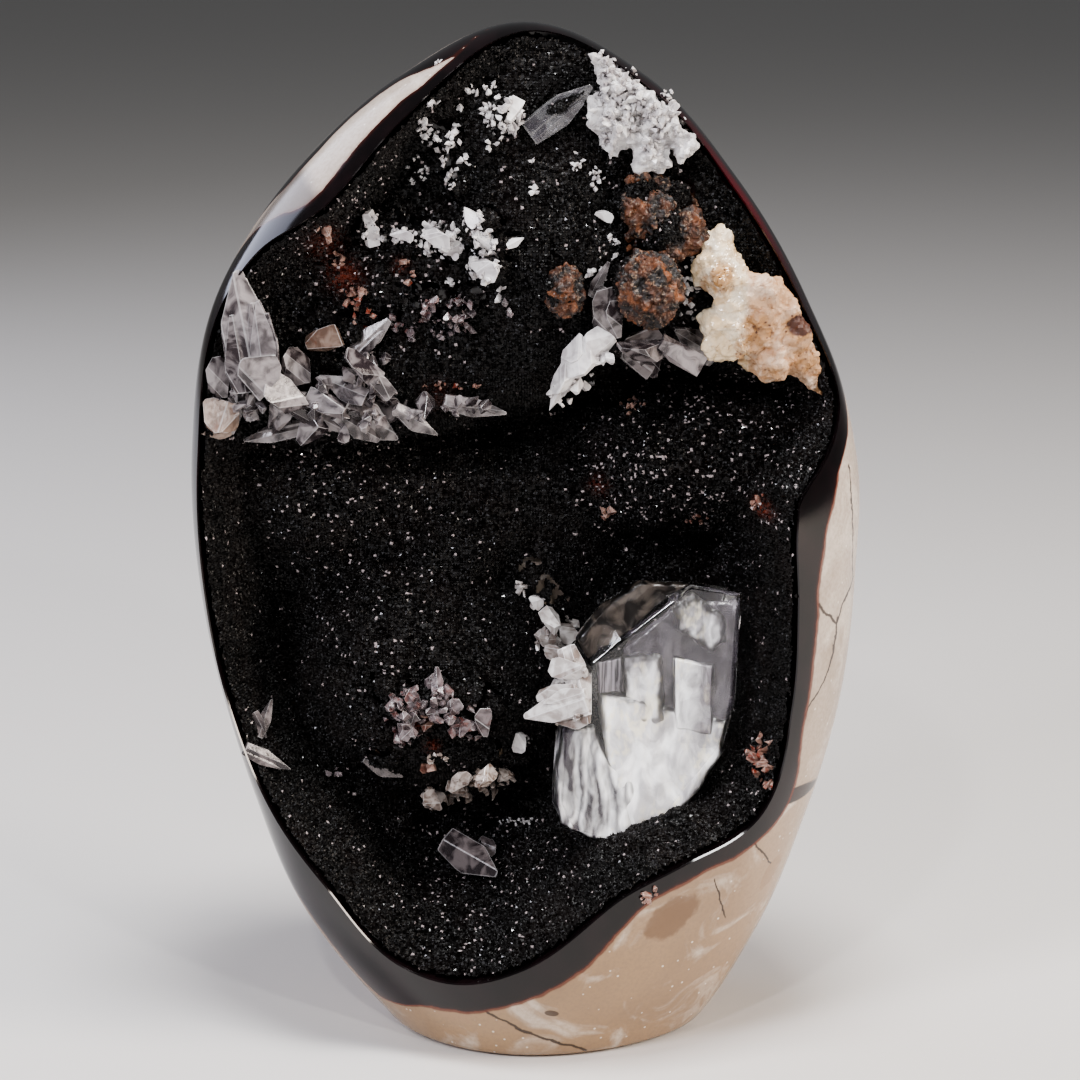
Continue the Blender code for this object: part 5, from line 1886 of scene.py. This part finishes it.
@dataclass
class ClearCrystal:
    """The large water-clear crystal, with the milky veils that show through its front face."""

    outline: tuple = (
        (26.4, 110.0), (38.0, 110.2), (49.8, 108.2), (48.6, 82.0), (45.8, 70.8), (29.8, 50.0),
        (22.5, 46.9), (9.5, 50.2), (5.9, 57.5), (7.0, 76.0), (11.6, 97.6), (17.3, 105.2),
    )
    front: tuple = (
        (33.8, 107.6), (37.6, 111.0), (48.2, 109.2), (46.8, 84.0), (44.0, 72.5), (29.0, 52.4),
        (22.5, 49.6), (11.5, 52.8), (8.6, 59.0), (9.5, 76.0), (15.5, 93.0), (22.0, 98.3),
    )
    middle: tuple[float, float] = (28.0, 80.0)
    front_y: float = -26.4
    # the depths y in mm of the widest outline, the waist and the back, and how large the last two are
    widest_y: float = -20.0
    waist: tuple = (-12.0, 0.95)
    back: tuple = (-3.0, 0.80)
    bevel: float = 0.35 * MM
    # a veil's front and back against its widest outline, how far behind its front that is, and how it is made
    taper: float = 0.93
    belly_mm: float = 1.2
    voxel: float = 0.36 * MM
    stretch: float = 2.2
    veils: tuple = (
        Veil(
            "milky_mass", "veil", -24.8, -17.0,
            ((596, 690), (618, 694), (640, 700), (664, 706), (700, 716), (726, 720), (724, 757), (690, 804),
             (650, 842), (606, 842), (612, 800), (604, 760)), fade_mm=2.4, tone=-0.45, slant=(0.35, 0.35),
        ),
        Veil(
            "striped_mass", "sheets", -24.9, -18.0,
            ((563, 728), (594, 726), (610, 764), (632, 782), (640, 806), (628, 840), (592, 840), (560, 826),
             (554, 806), (555, 772)),
            ((5.0, 0.9), (1.8, 0.4)), ((2.6, 1.0),), fade_mm=1.2, tone=0.25, slant=(-0.5, 0.0),
        ),
        Veil(
            "fine_stripes", "lines", -24.6, -22.0, ((596, 662), (622, 656), (625, 692), (598, 694)),
            smoothing=1, fade_mm=0.6,
        ),
        Veil(
            "milky_block_left", "veil", -24.7, -20.0, ((622, 655), (662, 654), (665, 722), (624, 726)),
            ((4.0, 1.0), (1.5, 0.5)), ((2.2, 0.6),), 0.1, 8, 2.6,
        ),
        Veil(
            "milky_block_right", "veil", -25.2, -20.0, ((674, 656), (713, 665), (712, 736), (675, 730)),
            ((6.0, 0.5), (2.0, 0.3)), ((4.0, 0.6),), -0.1, 1, 0.5, (1.0, -0.25),
        ),
        Veil(
            "faint_veil", "haze", -23.6, -19.5,
            ((622, 648), (676, 600), (738, 598), (736, 660), (728, 726), (700, 734), (640, 716)), tone=0.4,
            fade_mm=0.5,
        ),
        Veil(
            "smoky_facet", "smoky", -21.5, -17.0,
            ((578, 640), (603, 608), (642, 583), (690, 584), (676, 600), (594, 663)), tone=0.5, fade_mm=0.8,
        ),
        Veil(
            "milky_cloud", "veil", -25.0, -20.0,
            ((672, 606), (692, 595), (724, 614), (728, 642), (710, 650), (678, 630)),
            ((4.0, 1.1), (1.5, 0.7), (0.8, 0.3)), ((1.8, 0.5),), 0.1, 10, 2.8,
        ),
    )
    see_through: tuple = ("clear_crystal_faces", "faint_veil")

    def build_veil(self, veil: Veil, studio: Studio, finish: bpy.types.Material) -> None:
        """Make a veil.

        Args:
            veil: the veil.
            studio: what knows the lines of sight.
            finish: its material.
        """
        points = [studio.on_plane(px, py, veil.front) for px, py in veil.outline]
        middle = np.mean(points, axis=0)
        small = [tuple(middle + (np.array(point) - middle) * self.taper) for point in points]
        belly = veil.front + self.belly_mm
        piece = loft(veil.name, ((veil.front, small), (belly, points), (veil.back, small)))
        apply_modifier(piece, "REMESH", mode="VOXEL", voxel_size=self.voxel, adaptivity=0.0)
        apply_modifier(piece, "SMOOTH", factor=0.5, iterations=veil.smoothing)
        roughen(piece, veil.waves, veil.cells, stretch=self.stretch)
        at = corners_of(piece.data)[:, ::2] / MM
        gap = np.full(len(at), np.inf)
        for start, end in zip(np.array(points), np.roll(points, -1, axis=0)):
            side = end - start
            run = np.clip((at - start) @ side / np.dot(side, side), 0, 1)
            gap = np.minimum(gap, np.linalg.norm(at - start - run[:, None] * side, axis=1))
        set_attribute(piece.data, "fade", np.clip(1 - gap / veil.fade_mm, 0, 1))
        at = np.array([p.center for p in piece.data.polygons])[:, ::2] / MM
        share = (at - np.min(points, axis=0)) / np.ptp(points, axis=0)
        set_attribute(piece.data, "tone", veil.tone + share @ np.array(veil.slant), "FACE")
        self.hand_in(piece, finish)

    def hand_in(self, piece: bpy.types.Object, finish: bpy.types.Material) -> None:
        """Hand over a piece of the crystal, whose clear ones let the lights through.

        Args:
            piece: the piece.
            finish: its material.
        """
        piece.visible_shadow = piece.name not in self.see_through
        hand_over(piece, finish, "clear_calcite", "clear_crystal")

    def build(self, crystals: Crystals, finishes: dict[str, bpy.types.Material]) -> None:
        """Make the crystal, its veils and the plates at its left.

        Args:
            crystals: what sets the plates.
            finishes: the materials by name.
        """
        middle = np.array(self.middle)
        layers = [(self.front_y, self.front), (self.widest_y, self.outline)]
        for y, share in (self.waist, self.back):
            layers.append((y, tuple(tuple(middle + (np.array(p) - middle) * share) for p in self.outline)))
        shell = loft("clear_crystal_faces", tuple(layers))
        apply_modifier(shell, "BEVEL", width=self.bevel, segments=2, limit_method="ANGLE")
        solid = tree_of(shell)
        self.hand_in(shell, finishes["clear"])
        for veil in self.veils:
            self.build_veil(veil, crystals.studio, finishes[veil.finish])
        piece = crystals.group("white_plates", CLEAR_PLATES, PLATE_CLUSTERS, (BLADE, RHOMB, CHUNK), solid)
        hand_over(piece, finishes["plates"], "white_calcite", "clear_crystal")


def main() -> None:
    """Build the nodule and report each piece."""
    logging.basicConfig(level=logging.INFO, format="%(name)s: %(message)s")
    finishes = {name: finish.make() for name, finish in FINISHES.items()}
    studio = Studio()
    studio.build()
    PolishedBody().build(finishes["limestone"])
    ground = DruseLining().build(finishes["druse"])
    draw = random.Random(7)
    habits = {habit: [model_habit(habit, draw) for _ in range(VARIANTS)] for habit in Habit}
    crystals = Crystals(studio, ground, habits, draw)
    blades = tree_of(frame["nodes"]["blade_cluster"])
    bridge = tree_of(frame["nodes"]["bridge_crystals"])
    for name, singles, clusters, solids, finish, slot, *nodes in (
        ("tall_blades", TALL_BLADES, TALL_CLUSTERS, (blades,), "bladed", "bladed_calcite", "blade_cluster"),
        ("tan_crystals", TAN_CRYSTALS, (), (blades,), "tan", "bladed_calcite", "blade_cluster"),
        ("arch_grey", BRIDGE_CRYSTALS, (), (bridge,), "bladed", "bladed_calcite", "bridge_crystals"),
        (
            "arch_white", BRIDGE_WHITE, BRIDGE_CLUSTERS, (bridge,), "white", "bladed_calcite",
            "bridge_crystals",
        ),
        ("white_crystals", WHITE_CRYSTALS, WHITE_CLUSTERS, (), "white", "white_calcite", "druse_crust"),
        ("grey_crystals", GREY_CRYSTALS, GREY_CLUSTERS, (), "pink", "bladed_calcite", "druse_crust"),
        ("pink_grains", (), PINK_CLUSTERS, (), "rosy", "bladed_calcite", "druse_crust"),
        ("pale_beads", BEADS, BEAD_CLUSTERS, (), "beige", "white_calcite", "druse_crust"),
        ("shaded_bowl_crystals", SHADED_BOWL_CRYSTALS, (), (), "shade_darkened_blade", "bladed_calcite", "druse_crust"),
    ):
        piece = crystals.group(name, singles, clusters, (CHUNK, RHOMB, POINT), *solids)
        hand_over(piece, finishes[finish], slot, *nodes)
    leaf = crystals.group("clear_leaf", (CLEAR_LEAF,), ())
    hand_over(leaf, finishes["leaf"], "clear_calcite", "druse_crust")
    CreamMass().build(crystals, finishes["cream"])
    SnowCrust().build(crystals, finishes["white"])
    BrownLumps().build(crystals, finishes["crust"])
    ClearCrystal().build(crystals, finishes)
    mark_all(False)


if __name__ == "__main__":
    main()
